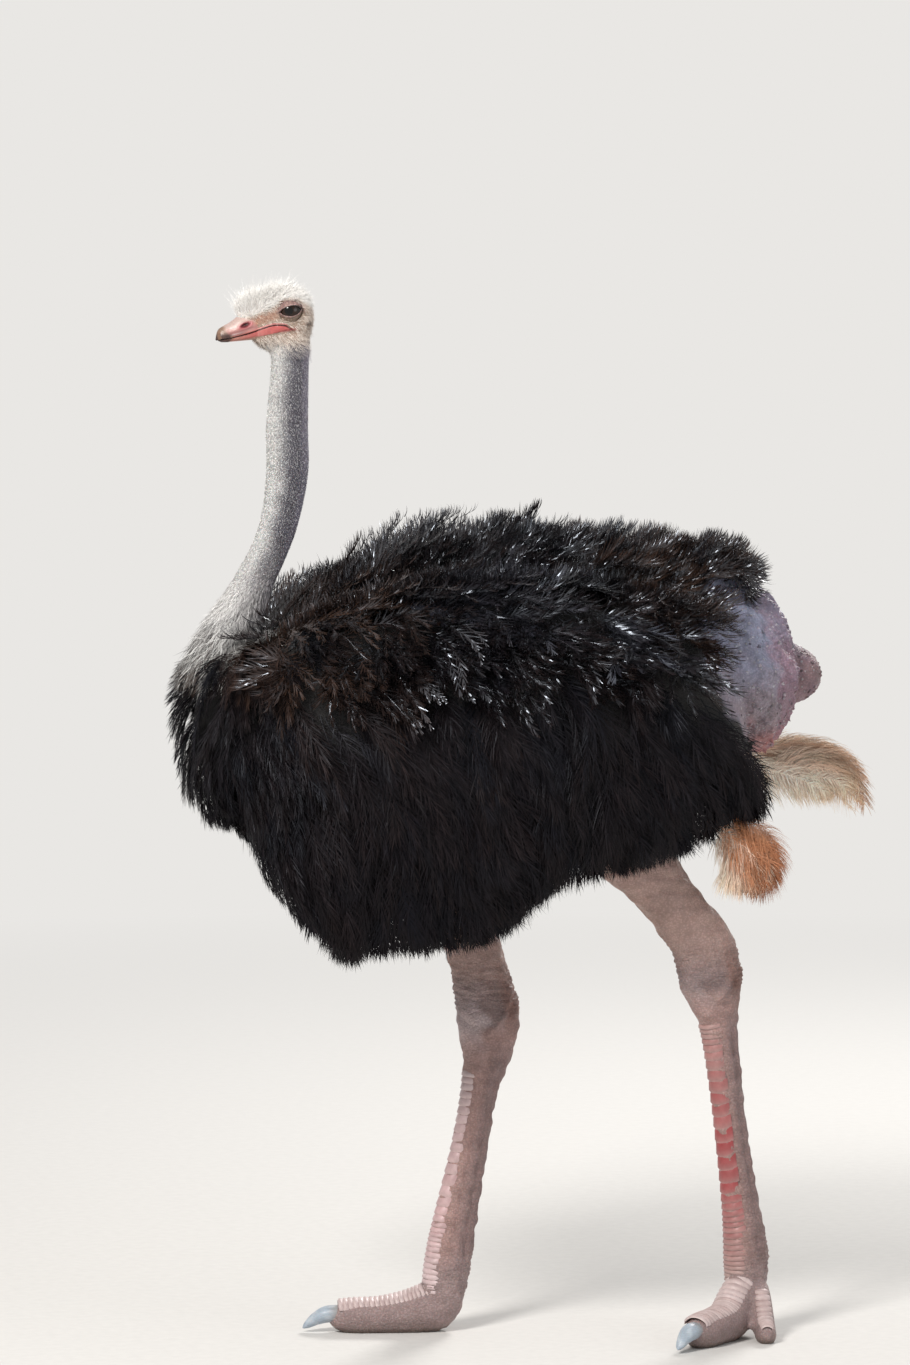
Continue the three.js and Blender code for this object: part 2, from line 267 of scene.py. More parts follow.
def joined(parts):
    """Several (points, faces) pairs as one."""
    starts = np.cumsum([0] + [len(points) for points, _ in parts[:-1]])
    faces = [faces + start for (_, faces), start in zip(parts, starts)]
    return np.concatenate([points for points, _ in parts]), np.concatenate(faces)


# ---- The bird's measurements, in millimetres ----
def head_point(forward, height, side=0.0):
    """Points of the head, this far ahead of the mouth's corner, above the mouth and to the side."""
    forward, height, side = np.broadcast_arrays(forward, height, side)
    x = MOUTH[0] - forward * math.cos(HEAD_PITCH) - height * math.sin(HEAD_PITCH)
    z = MOUTH[1] - forward * math.sin(HEAD_PITCH) + height * math.cos(HEAD_PITCH)
    return np.stack([x, side, z], -1)


def head_place(points):
    """How far points of the frame are ahead of the mouth's corner, above the mouth and to the side."""
    x = (points[:, 0] - MIDDLE) / MM - MOUTH[0]
    z = points[:, 2] / MM - MOUTH[1]
    forward = -x * math.cos(HEAD_PITCH) - z * math.sin(HEAD_PITCH)
    height = -x * math.sin(HEAD_PITCH) + z * math.cos(HEAD_PITCH)
    return forward, height, points[:, 1] / MM


def to_frame(points):
    """Points in millimetres, x counted from MIDDLE, in the frame."""
    return points * MM + np.array([MIDDLE, 0, 0])


def head_frame(forward, height, side):
    return to_frame(head_point(forward, height, side))


# Along the head: how far ahead of the mouth's corner, the top, the bottom and half the width.
HEAD = [
    [*head_point(forward, (top + bottom) / 2), (top - bottom) / 2, wide]
    for forward, top, bottom, wide in [
        (-41, 32, -6, 18),
        (-29, 50, -26, 28),
        (-8, 60, -40, 32.5),
        (14, 64, -45, 32.5),
        (36, 64, -45, 30),
        (58, 60, -32, 24.5),
        (80, 48, -15, 15.5),
        (98, 28, -6, 10),
    ]
]
NECK = [
    [-374, 0, 1846, 33, 27],
    [-376, 0, 1812, 37, 32],
    [-379, 0, 1736, 39, 34],
    [-383, 0, 1660, 42, 36],
    [-383, 0, 1577, 42, 36],
    [-397, 0, 1492, 38, 35],
    [-420, 0, 1430, 37, 35],
    [-456, 0, 1361, 40, 39],
    [-492, 0, 1290, 46, 46],
    [-516, 0, 1210, 60, 64],
]
# Along the rump: x, the top, the bottom and half the width.
RUMP = [
    [x, 0, (top + bottom) / 2, (top - bottom) / 2, wide]
    for x, top, bottom, wide in [
        (290, 1366, 1075, 164),
        (380, 1372, 1062, 174),
        (450, 1370, 1050, 164),
        (500, 1342, 1058, 138),
        (530, 1300, 1092, 104),
        (549, 1256, 1130, 66),
    ]
]
TAIL = [[490, 0, 1214, 62, 76], [538, 0, 1198, 60, 68], [574, 0, 1180, 52, 58], [600, 0, 1164, 38, 42]]
HOCK = [59, 43]  # the hock's sizes
FEET = {
    "right": {
        "side": 1,
        "joint": [-72, 84, 88],
        "toe_out": 10,
        "leg": [
            [-84, 116, 1050, 104, 70],
            [-58, 110, 880, 84, 60],
            [-28, 100, 740, 56, 44],
            [-8, 96, 668, 52, 41],
            [9, 92, 588, *HOCK],
            [10, 91, 548, 57, 41],
            [7, 90, 500, 46, 36],
            [-6, 89, 437, 34, 29],
            [-24, 87, 337, 34, 26],
            [-50, 85, 212, 40, 27],
            [-62, 84, 150, 43, 33],
            [-72, 84, 88, 41, 38],
            [-76, 84, 40, 34, 33],
        ],
    },
    "left": {
        "side": -1,
        "joint": [452, -74, 128],
        "toe_out": 46,
        "leg": [
            [92, -116, 1080, 104, 70],
            [196, -108, 932, 84, 60],
            [274, -98, 832, 56, 46],
            [332, -92, 758, 54, 42],
            [364, -90, 712, 58, 43],
            [380, -88, 650, *HOCK],
            [386, -87, 618, 50, 40],
            [394, -86, 580, 38, 33],
            [402, -84, 520, 32, 28],
            [418, -80, 400, 30, 26],
            [437, -76, 260, 33, 28],
            [447, -75, 190, 38, 34],
            [452, -74, 128, 41, 38],
            [448, -74, 76, 34, 33],
        ],
    },
}
# Along the toes: how far ahead of the foot's joint, how far outward, the height and the sizes.
# Heights in brackets are shares of the joint's height.
BIG_TOE = [
    (-26, 0, [0.7], 43, 35),
    (28, 0, [0.48], 46, 37),
    (72, 0, 33, 40, 37),
    (120, 0, 28, 35, 35),
    (170, 0, 27, 34, 33),
    (214, 0, 26, 30, 28),
]
OUTER_TOE = [
    (-6, 16, [0.8], 25, 21),
    (34, 20, [0.5], 25, 20),
    (76, 20, 20, 26, 20),
    (112, 18, 16, 22, 18),
    (132, 16, 14, 18, 14),
]
CLAW = [(180, 0, 33, 16, 19), (212, 0, 33, 15.5, 17.5), (232, 0, 26, 12.5, 13.5), (249, 0, 15, 7.5, 8.5),
        (259, 0, 7.5, 2.5, 3)]
OUTER_TOE_TURN = 38


def toe_tube(foot, stations, turn=0):
    """A tube ahead of a foot's joint along its big toe, turned outward by this many degrees."""
    angle = math.radians(foot["toe_out"] + turn)
    c, s = math.cos(angle), math.sin(angle)
    x, y, rise = foot["joint"]
    placed = []
    for ahead, outward, height, *sizes in stations:
        height = height[0] * rise if isinstance(height, list) else height
        aside = foot["side"] * (ahead * s + outward * c)
        placed.append([x - ahead * c + outward * s, y + aside, height, *sizes])
    return Tube(placed, lateral=np.array([foot["side"] * s, c, 0]))


EYE_AT = (5.0, 24.5)  # the eyeballs' centres, seen from the side
EYE_SIDE = abs(sum(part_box("eye_left"), Vector()).y / 2) / MM
EYE_R = 20.5
EYE_OPENING = (6.0, 24.0)

HEAD_TUBE = Tube(HEAD)
NECK_TUBE = Tube(NECK, DOWN_DEPTH)
LEG_TUBES = {name: Tube(foot["leg"], 0.001) for name, foot in FEET.items()}
TOE_TUBES = {
    name: (toe_tube(foot, BIG_TOE), toe_tube(foot, OUTER_TOE, OUTER_TOE_TURN))
    for name, foot in FEET.items()
}


# ---- Skin ----
VOXEL = 0.007  # size of the grid on which the solids under the coat are joined into one skin
TAIL_ROOT = (0.562, 1.186)  # x from MIDDLE and z, where the tail's knob comes out of the rump


def from_legs(points):
    """The coordinates of points, with x counted from MIDDLE."""
    return points[..., 0] - MIDDLE, points[..., 1], points[..., 2]


def refine(obj, chosen):
    """Splits each face whose middle is chosen into four."""
    mesh = bmesh.new()
    mesh.from_mesh(obj.data)
    picked = chosen(np.array([face.calc_center_median() for face in mesh.faces]))
    edges = {edge for face, take in zip(mesh.faces, picked) if take for edge in face.edges}
    bmesh.ops.subdivide_edges(mesh, edges=list(edges), cuts=1, use_grid_fill=True, smooth=0.0)
    mesh.to_mesh(obj.data)
    mesh.free()


def relax(obj, rounds, where=None):
    """Smooths the surface, moving each point toward the middle of its neighbours and a little back again."""
    edges = np.empty(len(obj.data.edges) * 2, np.int32)
    obj.data.edges.foreach_get("vertices", edges)
    a, b = edges.reshape(-1, 2).T
    points = points_of(obj)
    count = np.bincount(np.concatenate([a, b]), minlength=len(points))[:, None]
    weight = 0.5 if where is None else 0.5 * where(points)[:, None]
    for _ in range(rounds):
        for sign in (1, -1.04):
            total = [np.bincount(a, row[b], len(row)) + np.bincount(b, row[a], len(row)) for row in points.T]
            points = points + (np.stack(total, 1) / count - points) * weight * sign
    set_points(obj, points)


def under_plumage(coat):
    """The body under the plumage: the solids' outer surface, drawn in on all sides by the feathers' depth."""
    s = np.linspace(0.01, coat.length - 0.01, 110)[:, None]
    a = (np.arange(120) / 60 - 1)[None] * math.pi
    s, a = np.broadcast_arrays(s, a)
    steps = [(ds, da) for ds in (-0.025, 0, 0.025) for da in (-0.07, 0, 0.07)]
    around = [coat.read(coat.reach, np.clip(s + ds, 0, coat.length), a + da) for ds, da in steps]
    centre, direction = coat.aim(s, a)
    return loft(centre + direction * (np.min(around, 0) - 0.85 * COAT_DEPTH)[..., None])


def flesh_parts(coat):
    """Closed forms of everything under the coat."""
    parts = [
        under_plumage(coat),
        HEAD_TUBE.closed(40, 40, 0.28, 0.12),
        NECK_TUBE.closed(60, 36),
        Tube(RUMP, 0.002, square=BACKWARD).closed(24, 40, round_end=0.12),
        Tube(TAIL, 0.002).closed(14, 28, round_end=0.4),
    ]
    for name, (big, outer) in TOE_TUBES.items():
        parts.append(LEG_TUBES[name].closed(90, 30, round_start=0.06))
        parts.append(big.closed(26, 26, 0.2, 0.26))
        parts.append(outer.closed(20, 22, 0.2, 0.25))
    return parts


def near_head(points):
    return points[:, 2] > 1.79


def on_the_face(points):
    forward, height, side = head_place(points)
    round_eye = np.hypot(forward - 5, height - 24) < 32
    along_mouth = (forward > -10) & (np.abs(height + 4) < 12)
    return near_head(points) & (round_eye | along_mouth) & (np.abs(side) > 8)


def bare_or_thin(points):
    """Where the skin shows: head, neck, rump, legs and feet."""
    x, _, z = from_legs(points)
    return ((z > 1.30) & (x < -0.34)) | ((x > 0.34) & (z > 0.98)) | (z < 0.90)


def eye_plane(forward, height):
    """Places round the eye's opening: along it and across it, in millimetres."""
    turn = math.radians(1.0)
    ahead, above = forward - EYE_OPENING[0], height - EYE_OPENING[1]
    return ahead * math.cos(turn) + above * math.sin(turn), above * math.cos(turn) - ahead * math.sin(turn)


def eye_ball_side(offset, proud):
    """How far to the side the eyeball reaches, this far from its centre seen from the side."""
    return EYE_SIDE + np.sqrt(np.maximum((EYE_R + proud) ** 2 - offset**2, 0))


def from_eye(forward, height):
    return np.hypot(forward - EYE_AT[0], height - EYE_AT[1])


# Soft round changes of the head, in millimetres: the middle forward and up, the size both ways, how proud.
HEAD_DABS = {
    "brow": (5, 50, 26, 7, 2.4),
    "lores": (44, 22, 15, 9, -3.4),
    "lores at the bill": (66, 14, 10, 7, -1.6),
    "cheek": (-22, 8, 13, 16, 1.8),
    "ear": (-25, -5, 4.5, 4.5, -5.0),
    "ear's rim": (-25, -5, 9, 9, 1.6),
    "crease behind the mouth": (6, -16, 14, 4, -1.8),
    "jaw": (20, -26, 26, 7, 1.6),
}


def sculpt_head(points, normals):
    """Eye sockets, brows, lores, cheeks and ears."""
    forward, height, side = head_place(points)
    here = near_head(points)
    change = 0.45 * smooth_noise(points, 0.012, 3)
    for f, h, long, high, proud in HEAD_DABS.values():
        change += proud * bell(forward, f, long) * bell(height, h, high)
    moved = points + normals * (change * ease(np.abs(side), 8, 20) * here * MM)[:, None]

    offset = from_eye(forward, height)
    e1, e2 = eye_plane(forward, height)
    opening = (e1 / 18) ** 2 + (e2 / 9.5) ** 2
    ball = eye_ball_side(offset, 0.3) - 6 * fall(opening, 0.75, 1.1)
    share = fall(offset, 18.5, 23.5) * here * (np.abs(side) > 8)
    outward = np.sign(side) * mix(np.abs(moved[:, 1] / MM), ball, share)
    moved[:, 1] = np.where(here, outward * MM, moved[:, 1])
    return moved


def hock_share(name):
    """How far down a leg its hock is, as a share of the leg."""
    sizes = [station[3:] for station in FEET[name]["leg"]]
    return sizes.index(HOCK) / (len(sizes) - 1)


def leg_place(name, points):
    """How far down a leg points are, their angle round it from the front, and whether they are close."""
    t = np.linspace(0, 1, 240)
    centre, deep, wide, outward, across, _ = LEG_TUBES[name].axes(t)
    near = level_with(points, centre)
    offset = points - centre[near]
    ahead = (offset * outward[near]).sum(1)
    sideways = (offset * across[near]).sum(1)
    close = np.hypot(ahead / deep[near, 0], sideways / wide[near, 0]) < 1.35
    return t[near], np.arctan2(sideways, ahead), close


def leg_forms(name, points):
    """Tendons along the shank, and the wrinkles, flanges and hollows of hock and ankle, in millimetres."""
    hock = hock_share(name)
    t, angle, close = leg_place(name, points)
    down = (t - hock + 0.04) / 0.13
    turn = np.abs(angle)
    shank = ease(t, hock + 0.08, hock + 0.2) * fall(t, 0.82, 0.9)
    grooves = bell(turn, 1.45, 0.24) + 0.7 * bell(turn, 2.3, 0.2)
    ridges = np.sin(t * 540 + 2.2 * smooth_noise(points, 0.05, 5) + 1.2 * np.cos(angle * 2))
    joints = bell(t, hock - 0.03, 0.06) + bell(t, 0.9, 0.05)
    flange = bell(turn, mix(2.5, 1.4, np.clip(down, 0, 1)), 0.17)
    flange = flange * ease(down, 0, 0.25) * fall(down, 0.8, 1.15)
    hollow = bell(down, 0.55, 0.4) * bell(turn, 1.3, 0.4)
    change = 1.6 * smooth_noise(points, 0.03, 6) + 1.5 * ridges * joints
    change += 6.0 * flange - 3.5 * hollow - 4.2 * shank * grooves
    return change * (close & (points[:, 2] < 0.95))


def from_tail_root(points, squash=1.0):
    """Distance from the root of the tail, where heights count squash times."""
    x, y, z = from_legs(points)
    return np.sqrt((x - TAIL_ROOT[0]) ** 2 + (squash * (z - TAIL_ROOT[1])) ** 2 + y**2)


def rump_forms(points):
    """The lumps, folds and creases of the bare rump, in millimetres."""
    x, y, z = from_legs(points)
    grain = smooth_noise(points, 0.013, 8) * smooth_noise(points, 0.016, 9)
    lumps = 5.0 * np.maximum(grain, 0) + 3.6 * smooth_noise(points, 0.05, 10)
    lumps += 0.9 * smooth_noise(points, 0.009, 13)
    round_tail, from_tail = np.arctan2(y, z - 1.19), np.hypot(y, z - 1.19)
    folds = np.sin(round_tail * 8 + 1.6 * smooth_noise(points, 0.07, 11)) * ease(from_tail, 0.05, 0.08)
    edge = x - 0.488 + 0.18 * (z - 1.2) + 0.008 * smooth_noise(points, 0.06, 12)
    change = lumps * (1 - 0.65 * ease(x, 0.535, 0.56)) + 2.4 * folds * ease(x, 0.47, 0.50)
    change -= 4.0 * bell(edge, 0, 0.008) + 5.0 * bell(from_tail_root(points, 1.1), 0.068, 0.010)
    change += 5.0 * bell(y, 0, 0.02) * ease(z, 1.22, 1.30)
    change -= 6.0 * bell(y, 0, 0.010) * ease(z, 1.06, 1.09) * fall(z, 1.12, 1.14)
    return change * ease(x, 0.40, 0.44) * ease(z, 0.98, 1.02)


def sculpt_body(points, normals):
    """The forms of legs and rump, flat soles, and a rump that narrows above and below."""
    x, _, z = from_legs(points)
    change = sum(leg_forms(name, points) for name in FEET) + rump_forms(points)
    moved = points + normals * (change * MM)[:, None]
    moved[:, 2] = np.maximum(moved[:, 2], 0.0006)
    narrow = 0.26 * ease(z, 1.17, 1.35) + 0.20 * fall(z, 1.02, 1.17)
    moved[:, 1] *= 1 - narrow * ease(x, 0.33, 0.45) * ease(z, 0.98, 1.0)
    return moved


def build_skin(coat, material):
    """One skin over all the flesh, fine where it shows."""
    skin = mesh_object("skin", *joined(flesh_parts(coat)))
    remesh = skin.modifiers.new("join", "REMESH")
    remesh.mode = "VOXEL"
    remesh.voxel_size = VOXEL
    remesh.use_smooth_shade = True
    bpy.context.view_layer.update()
    shape = skin.evaluated_get(bpy.context.evaluated_depsgraph_get())
    mesh = bpy.data.meshes.new_from_object(shape)
    skin.modifiers.clear()
    skin.data = mesh
    relax(skin, 3)
    steps = ((bare_or_thin, 2, None), (near_head, 2, near_head), (on_the_face, 1, near_head))
    for finer, rounds, where in steps:
        refine(skin, finer)
        relax(skin, rounds, where)
    for sculpt in (sculpt_head, sculpt_body):
        set_points(skin, sculpt(points_of(skin), normals_of(skin)))
    points = points_of(skin)
    x, _, z = from_legs(points)
    neck = ease(z, 1.22, 1.28) * fall(z, 1.76, 1.80) * (x < -0.32)
    set_tint(skin, markings(points), mix(0.6, 1.0, neck))
    skin.data.materials.append(material)
    return skin


# ---- Colours ----
def srgb(code):
    """A linear colour from the six hex digits of a colour as it looks."""
    value = np.array([int(code[k : k + 2], 16) for k in (0, 2, 4)]) / 255
    return np.where(value <= 0.04045, value / 12.92, ((value + 0.055) / 1.055) ** 2.4)


COLOURS = {
    name: srgb(code)
    for name, code in {
        "plumage": "0a0a11",
        "brown plumage": "3d2b21",
        "worn tip": "4a3a33",
        # A painted highlight on the back feathers along the folded wing's crest.
        "shine": "5b5f6e",
        "white plume": "fff2e4",
        "brown plume": "c07a48",
        "cream tip": "f8d4ae",
        "brown tip": "8f4a22",
        # The pale front is partly the neck's own colour and partly painted light on its front edge; the
        # lighter violet behind is painted light along its rear edge.
        "neck front with painted light": "d4d3d2",
        "neck side": "5b5862",
        "neck rear with painted light": "9a93a5",
        "neck foot": "c9c4c4",
        "neck down": "fafaf8",
        "crown": "f0ebe7",
        "crown down": "fffdfa",
        "face down": "eae1d8",
        "ear bristles": "3a2c28",
        "cheek": "b39c8c",
        "lid": "ad8c86",
        "lid's rim": "2a1f20",
        "lid's roll": "dcbcb8",
        # Painted shade in the crease above the upper lid.
        "lid's crease shade": "7d5f60",
        "lower lid": "a88f81",
        "lash": "0d0b0c",
        "pupil": "050404",
        "iris": "2c1a10",
        "white of the eye": "1a1210",
        "lores": "a8765e",
        "throat": "b8a08f",
        "rump top": "a9abc4",
        "rump middle": "ab9aa2",
        "rump foot": "c47d79",
        "rump rear": "a5808f",
        "follicle": "efe8ee",
        "tail knob": "957b7c",
        "thigh": "c1a299",
        "hock": "7d6c6d",
        "heel": "96695a",
        "tarsus": "b6958f",
        "foot": "ab9492",
        # A painted highlight for the front of the shins.
        "shin_highlight": "cfbcbd",
        # The soles' own colour, also laid as painted shade along the feet's lower sides.
        "sole and painted shade": "7d6c65",
        "red": "b95e5b",
        "gum": "4a2222",
        "ridge": "c07f7c",
        "gape's front": "c99189",
        "bill": "b78780",
        "culmen": "bba29b",
        "bill's side": "8b5b5c",
        "bill's edge": "b0524c",
        "bill's shadow": "5c3734",
        "nostril's rim": "a9585c",
        "nostril": "5e2228",
        # Painted shade deep in the nostril's hole.
        "shade deep in the nostril": "220b0d",
        "mouth": "3d1b1a",
        "jaw": "c08276",
        "jaw's foot": "b8907f",
        "nail": "33211d",
        "worn nail": "96755c",
        "claw's root": "968f8b",
        "claw": "a4b0bc",
        "claw's sheen": "d5dbe0",
        "toe scute": "d0bdbc",
        "dull toe scute": "b8a09e",
        "worn edge": "e4d2cc",
        "background": "e9e7e4",
    }.items()
}


def painted(colours, *layers):
    """Colours with named colours laid over them in turn, each as its name and its share at each point."""
    for name, share in layers:
        colours = mix(colours, COLOURS[name], np.asarray(share)[:, None])
    return colours


def coloured(name, count):
    return np.tile(COLOURS[name], (count, 1))


def above_wing(points):
    """How far points are above the line along which the folded wing meets the back."""
    x, _, z = from_legs(points)
    return z - np.interp(x, [-0.20, 0.0, 0.16, 0.30, 0.38], [1.39, 1.37, 1.334, 1.21, 1.08])


def plumage_colour(points):
    """Black, with browner patches round the neck's foot, on the shoulders and at the top of the rear end."""
    x, _, z = from_legs(points)
    neck = bell(x, -0.40, 0.11) * ease(z, 1.18, 1.28)
    rear = ease(x, 0.05, 0.20) * ease(above_wing(points), 0.01, 0.05)
    brown = (0.85 * neck + 0.75 * rear + 0.14) * (0.6 + 0.6 * smooth_noise(points, 0.09, 22))
    return painted(coloured("plumage", len(points)), ("brown plumage", np.clip(brown, 0, 1)))


def rump_edge(z):
    """How far back the plumage reaches at these heights, where the rump is bare behind it."""
    heights = [0.98, 1.05, 1.09, 1.185, 1.275, 1.36, 1.40]
    return np.interp(z, heights, [0.62, 0.54, 0.47, 0.385, 0.36, 0.40, 0.44])


def bare_rump(points):
    """1 on the bare skin of the rump."""
    x, _, z = from_legs(points)
    return ease(x - rump_edge(z), -0.045, -0.02) * ease(z, 0.98, 1.0)


def paint_legs(colours, points, spots):
    """Thighs, hocks and feet, with a painted highlight down the front of the shins, painted shade on the upper
    thighs under the plumage, and painted shade along the feet's lower sides.
    """
    z = points[:, 2]
    colours = painted(colours, ("thigh", fall(z, 0.66, 0.72)))
    # For each leg: the height above which the thigh keeps the dark colour of the skin under the plumage,
    # painted shade under the hem that reaches lower on the right leg, and the strength of the painted
    # highlight on its shins.
    for name, top, shin_highlight in (("right", 0.83, 0.85), ("left", 0.90, 0.25)):
        t, angle, close = leg_place(name, points)
        low = close & (z < 0.95)
        t, angle = t - hock_share(name), np.abs(angle)
        joint = low * bell(t, 0, 0.07)
        colours = painted(
            colours,
            ("thigh", close * fall(z + 0.006 * spots, top - 0.03, top)),
            ("tarsus", low * ease(t, 0, 0.12)),
            ("hock", joint * 0.8),
            ("heel", joint * ease(angle, 1.9, 2.3) * 0.6),
            # Painted highlight down the front of the tarsus below the hock.
            ("shin_highlight", low * shin_highlight * bell(t, 0.05, 0.08) * fall(angle + 0.3 * spots, 0.9, 1.5)),
            ("hock", low * ease(t, 0.1, 0.2) * ease(angle, 1.2, 1.9) * 0.55),
        )
    return painted(
        colours,
        ("foot", fall(z, 0.10, 0.16)),
        # Painted shade along the feet's lower sides near the ground, then the soles' own colour underneath.
        ("sole and painted shade", 0.35 * fall(z + 0.008 * spots, 0.008, 0.035)),
        ("sole and painted shade", fall(z, 0.004, 0.012)),
    )


def paint_rump(colours, points, spots):
    """The bare rump, bluish above and pink below, its blotches and the tail's knob, with painted shade in the
    crease round the tail's root and in the slit under it.
    """
    x, y, z = from_legs(points)
    rump = bare_rump(points + 0.01 * spots[:, None])
    height = z + 0.02 * spots
    colours = painted(
        colours,
        ("rump top", rump),
        ("rump middle", rump * fall(height, 1.12, 1.27)),
        ("rump foot", rump * fall(height, 1.05, 1.13)),
    )
    blotches = ease(smooth_noise(points, 0.022, 23) * smooth_noise(points, 0.03, 24), 0.05, 0.5)
    rear = ease(x + 0.18 * (z - 1.2) + 0.01 * spots, 0.48, 0.50) * (1 - 0.5 * ease(height, 1.22, 1.32))
    root = from_tail_root(points)
    colours = painted(
        colours * (1 - 0.22 * rump * blotches)[:, None],
        ("rump rear", rump * rear * 0.75),
        ("rump foot", rump * fall(height, 1.04, 1.10) * 0.7),
        ("tail knob", rump * fall(root + 0.010 * spots, 0.040, 0.084) * ease(height, 1.11, 1.18) * 0.9),
    )
    # Painted shade: a darker ring, broken by noise, in the crease round the tail's root, and a dark line in
    # the slit under the tail.
    ring = bell(root, 0.072, 0.013) * np.clip(0.15 + 0.6 * spots, 0, 0.5)
    cleft = 0.5 * bell(y, 0, 0.008) * ease(height, 1.07, 1.10) * fall(height, 1.12, 1.14)
    return colours * (1 - rump * np.maximum(ring, cleft))[:, None]


def paint_neck(colours, points, spots):
    """The neck: dark grey at the sides, pale in front, partly its own colour and partly painted light on the
    front edge, and lighter violet behind, painted light along the rear edge.
    """
    z = points[:, 2]
    centre, deep, _, outward, _, _ = NECK_TUBE.axes(np.linspace(0, 1, 200))
    near = level_with(points, centre)
    offset, deep = points - centre[near], deep[near, 0]
    ahead = (offset * outward[near]).sum(1) / deep
    neck = ease(z + 0.03 * spots, 1.27, 1.33) * fall(np.linalg.norm(offset, axis=1) / deep, 1.3, 1.7)
    return painted(
        colours,
        ("neck side", neck),
        # Painted light: the pale front in part, and the lighter violet rear edge.
        ("neck front with painted light", neck * ease(ahead + 0.1 * spots, -0.05, 1.0)),
        ("neck rear with painted light", neck * fall(ahead, -0.9, -0.3)),
        ("neck foot", neck * fall(z, 1.34, 1.48) * 0.5),
    )


def fuzz_line(forward):
    """How high on the head the crown's pale down begins, from the nape to the bill."""
    return np.interp(forward, [-40, -12, 18, 32, 45, 82, 96], [18, 40, 45, 36, 30, 21, 22])


def paint_head(colours, points):
    """Cheeks, throat, crown, eyelids, lores and the red edge under the mouth."""
    forward, height, side = head_place(points)
    head = ease(points[:, 2], 1.80, 1.825) * (points[:, 0] - MIDDLE < -0.2)
    e1, e2 = eye_plane(forward, height)
    flank = head * ease(np.abs(side), 10, 18)
    lores = fall(np.abs(height - 18 + 0.2 * (forward - 50)), 5, 11) * ease(forward, 24, 36)
    return painted(
        colours,
        ("cheek", head),
        ("throat", head * fall(height, -32, -12)),
        ("crown", head * ease(height - fuzz_line(forward), -2, 5)),
        ("lid", flank * fall(np.hypot(e1 / 26, e2 / 19), 0.85, 1.12) * ease(e2, -8, 2)),
        ("lores", flank * lores * 0.7),
        ("red", flank * bell(height, -9, 3.0) * ease(forward, -6, 6) * fall(forward, 22, 34)),
    )


def markings(points):
    """The colour of the skin, and of the down that roots there; under the plumage it is the plumage's own, at
    half its brightness as painted shade under the feathers.
    """
    spots = smooth_noise(points, 0.05, 21)
    # Painted shade: under the plumage the skin is the plumage's colour at half its brightness.
    colours = plumage_colour(points) * 0.5
    for paint in (paint_legs, paint_rump, paint_neck):
        colours = paint(colours, points, spots)
    return paint_head(colours, points)


# ---- Materials ----
BLUISH = (0.80, 0.88, 1.0, 1.0)


class Shader:
    """A material and its nodes, with a Principled BSDF at the end."""

    def __init__(self, name, constants):
        self.material = bpy.data.materials.new(name)
        self.material.use_nodes = True
        self.nodes = self.material.node_tree.nodes
        self.links = self.material.node_tree.links
        self.surface = self.nodes["Principled BSDF"]
        for socket, value in constants.items():
            self.surface.inputs[socket].default_value = value
        self.place = self.node("TexCoord", {}).outputs["Object"]

    def node(self, kind, inputs, **settings):
        """A node with its settings, and with its inputs linked or set."""
        node = self.nodes.new("ShaderNode" + kind)
        for key, value in settings.items():
            setattr(node, key, value)
        for key, value in inputs.items():
            self.feed(node.inputs[key], value)
        return node

    def feed(self, socket, value):
        if isinstance(value, bpy.types.NodeSocket):
            self.links.new(value, socket)
        elif isinstance(value, np.ndarray):
            socket.default_value = (*value, 1.0)
        else:
            socket.default_value = value

    def tint(self, output="Color"):
        return self.node("Attribute", {}, attribute_name="Tint").outputs[output]

    def texture(self, kind, size, stretch, **inputs):
        """A texture with lumps of this size in metres."""
        place = self.node("Mapping", {"Vector": self.place, "Scale": stretch}).outputs["Vector"]
        return self.node("Tex" + kind, {"Vector": place, "Scale": 1 / size, **inputs})

    def noise(self, size, detail=3.0, stretch=(1, 1, 1)):
        """Noise from 0 to 1 about."""
        return self.texture("Noise", size, stretch, Detail=detail).outputs["Fac"]

    def scaled(self, value, low, high, to_low=0.0, to_high=1.0):
        inputs = {"Value": value, 1: low, 2: high, 3: to_low, 4: to_high}
        return self.node("MapRange", inputs).outputs["Result"]

    def math(self, operation, a, b):
        return self.node("Math", {0: a, 1: b}, operation=operation).outputs[0]

    def shaded(self, tone, share, factor):
        """A colour multiplied by a grey, in this share."""
        inputs = {0: share, 6: tone, 7: np.full(3, float(factor))}
        return self.node("Mix", inputs, data_type="RGBA", blend_type="MULTIPLY").outputs[2]

    def finish(self, colour, roughness, bump=None):
        """The material, with its colour, its roughness, and its bump as (height, distance, strength)."""
        self.feed(self.surface.inputs["Base Color"], colour)
        self.feed(self.surface.inputs["Roughness"], roughness)
        if bump:
            inputs = dict(zip(("Height", "Distance", "Strength"), bump))
            self.feed(self.surface.inputs["Normal"], self.node("Bump", inputs).outputs["Normal"])
        return self.material


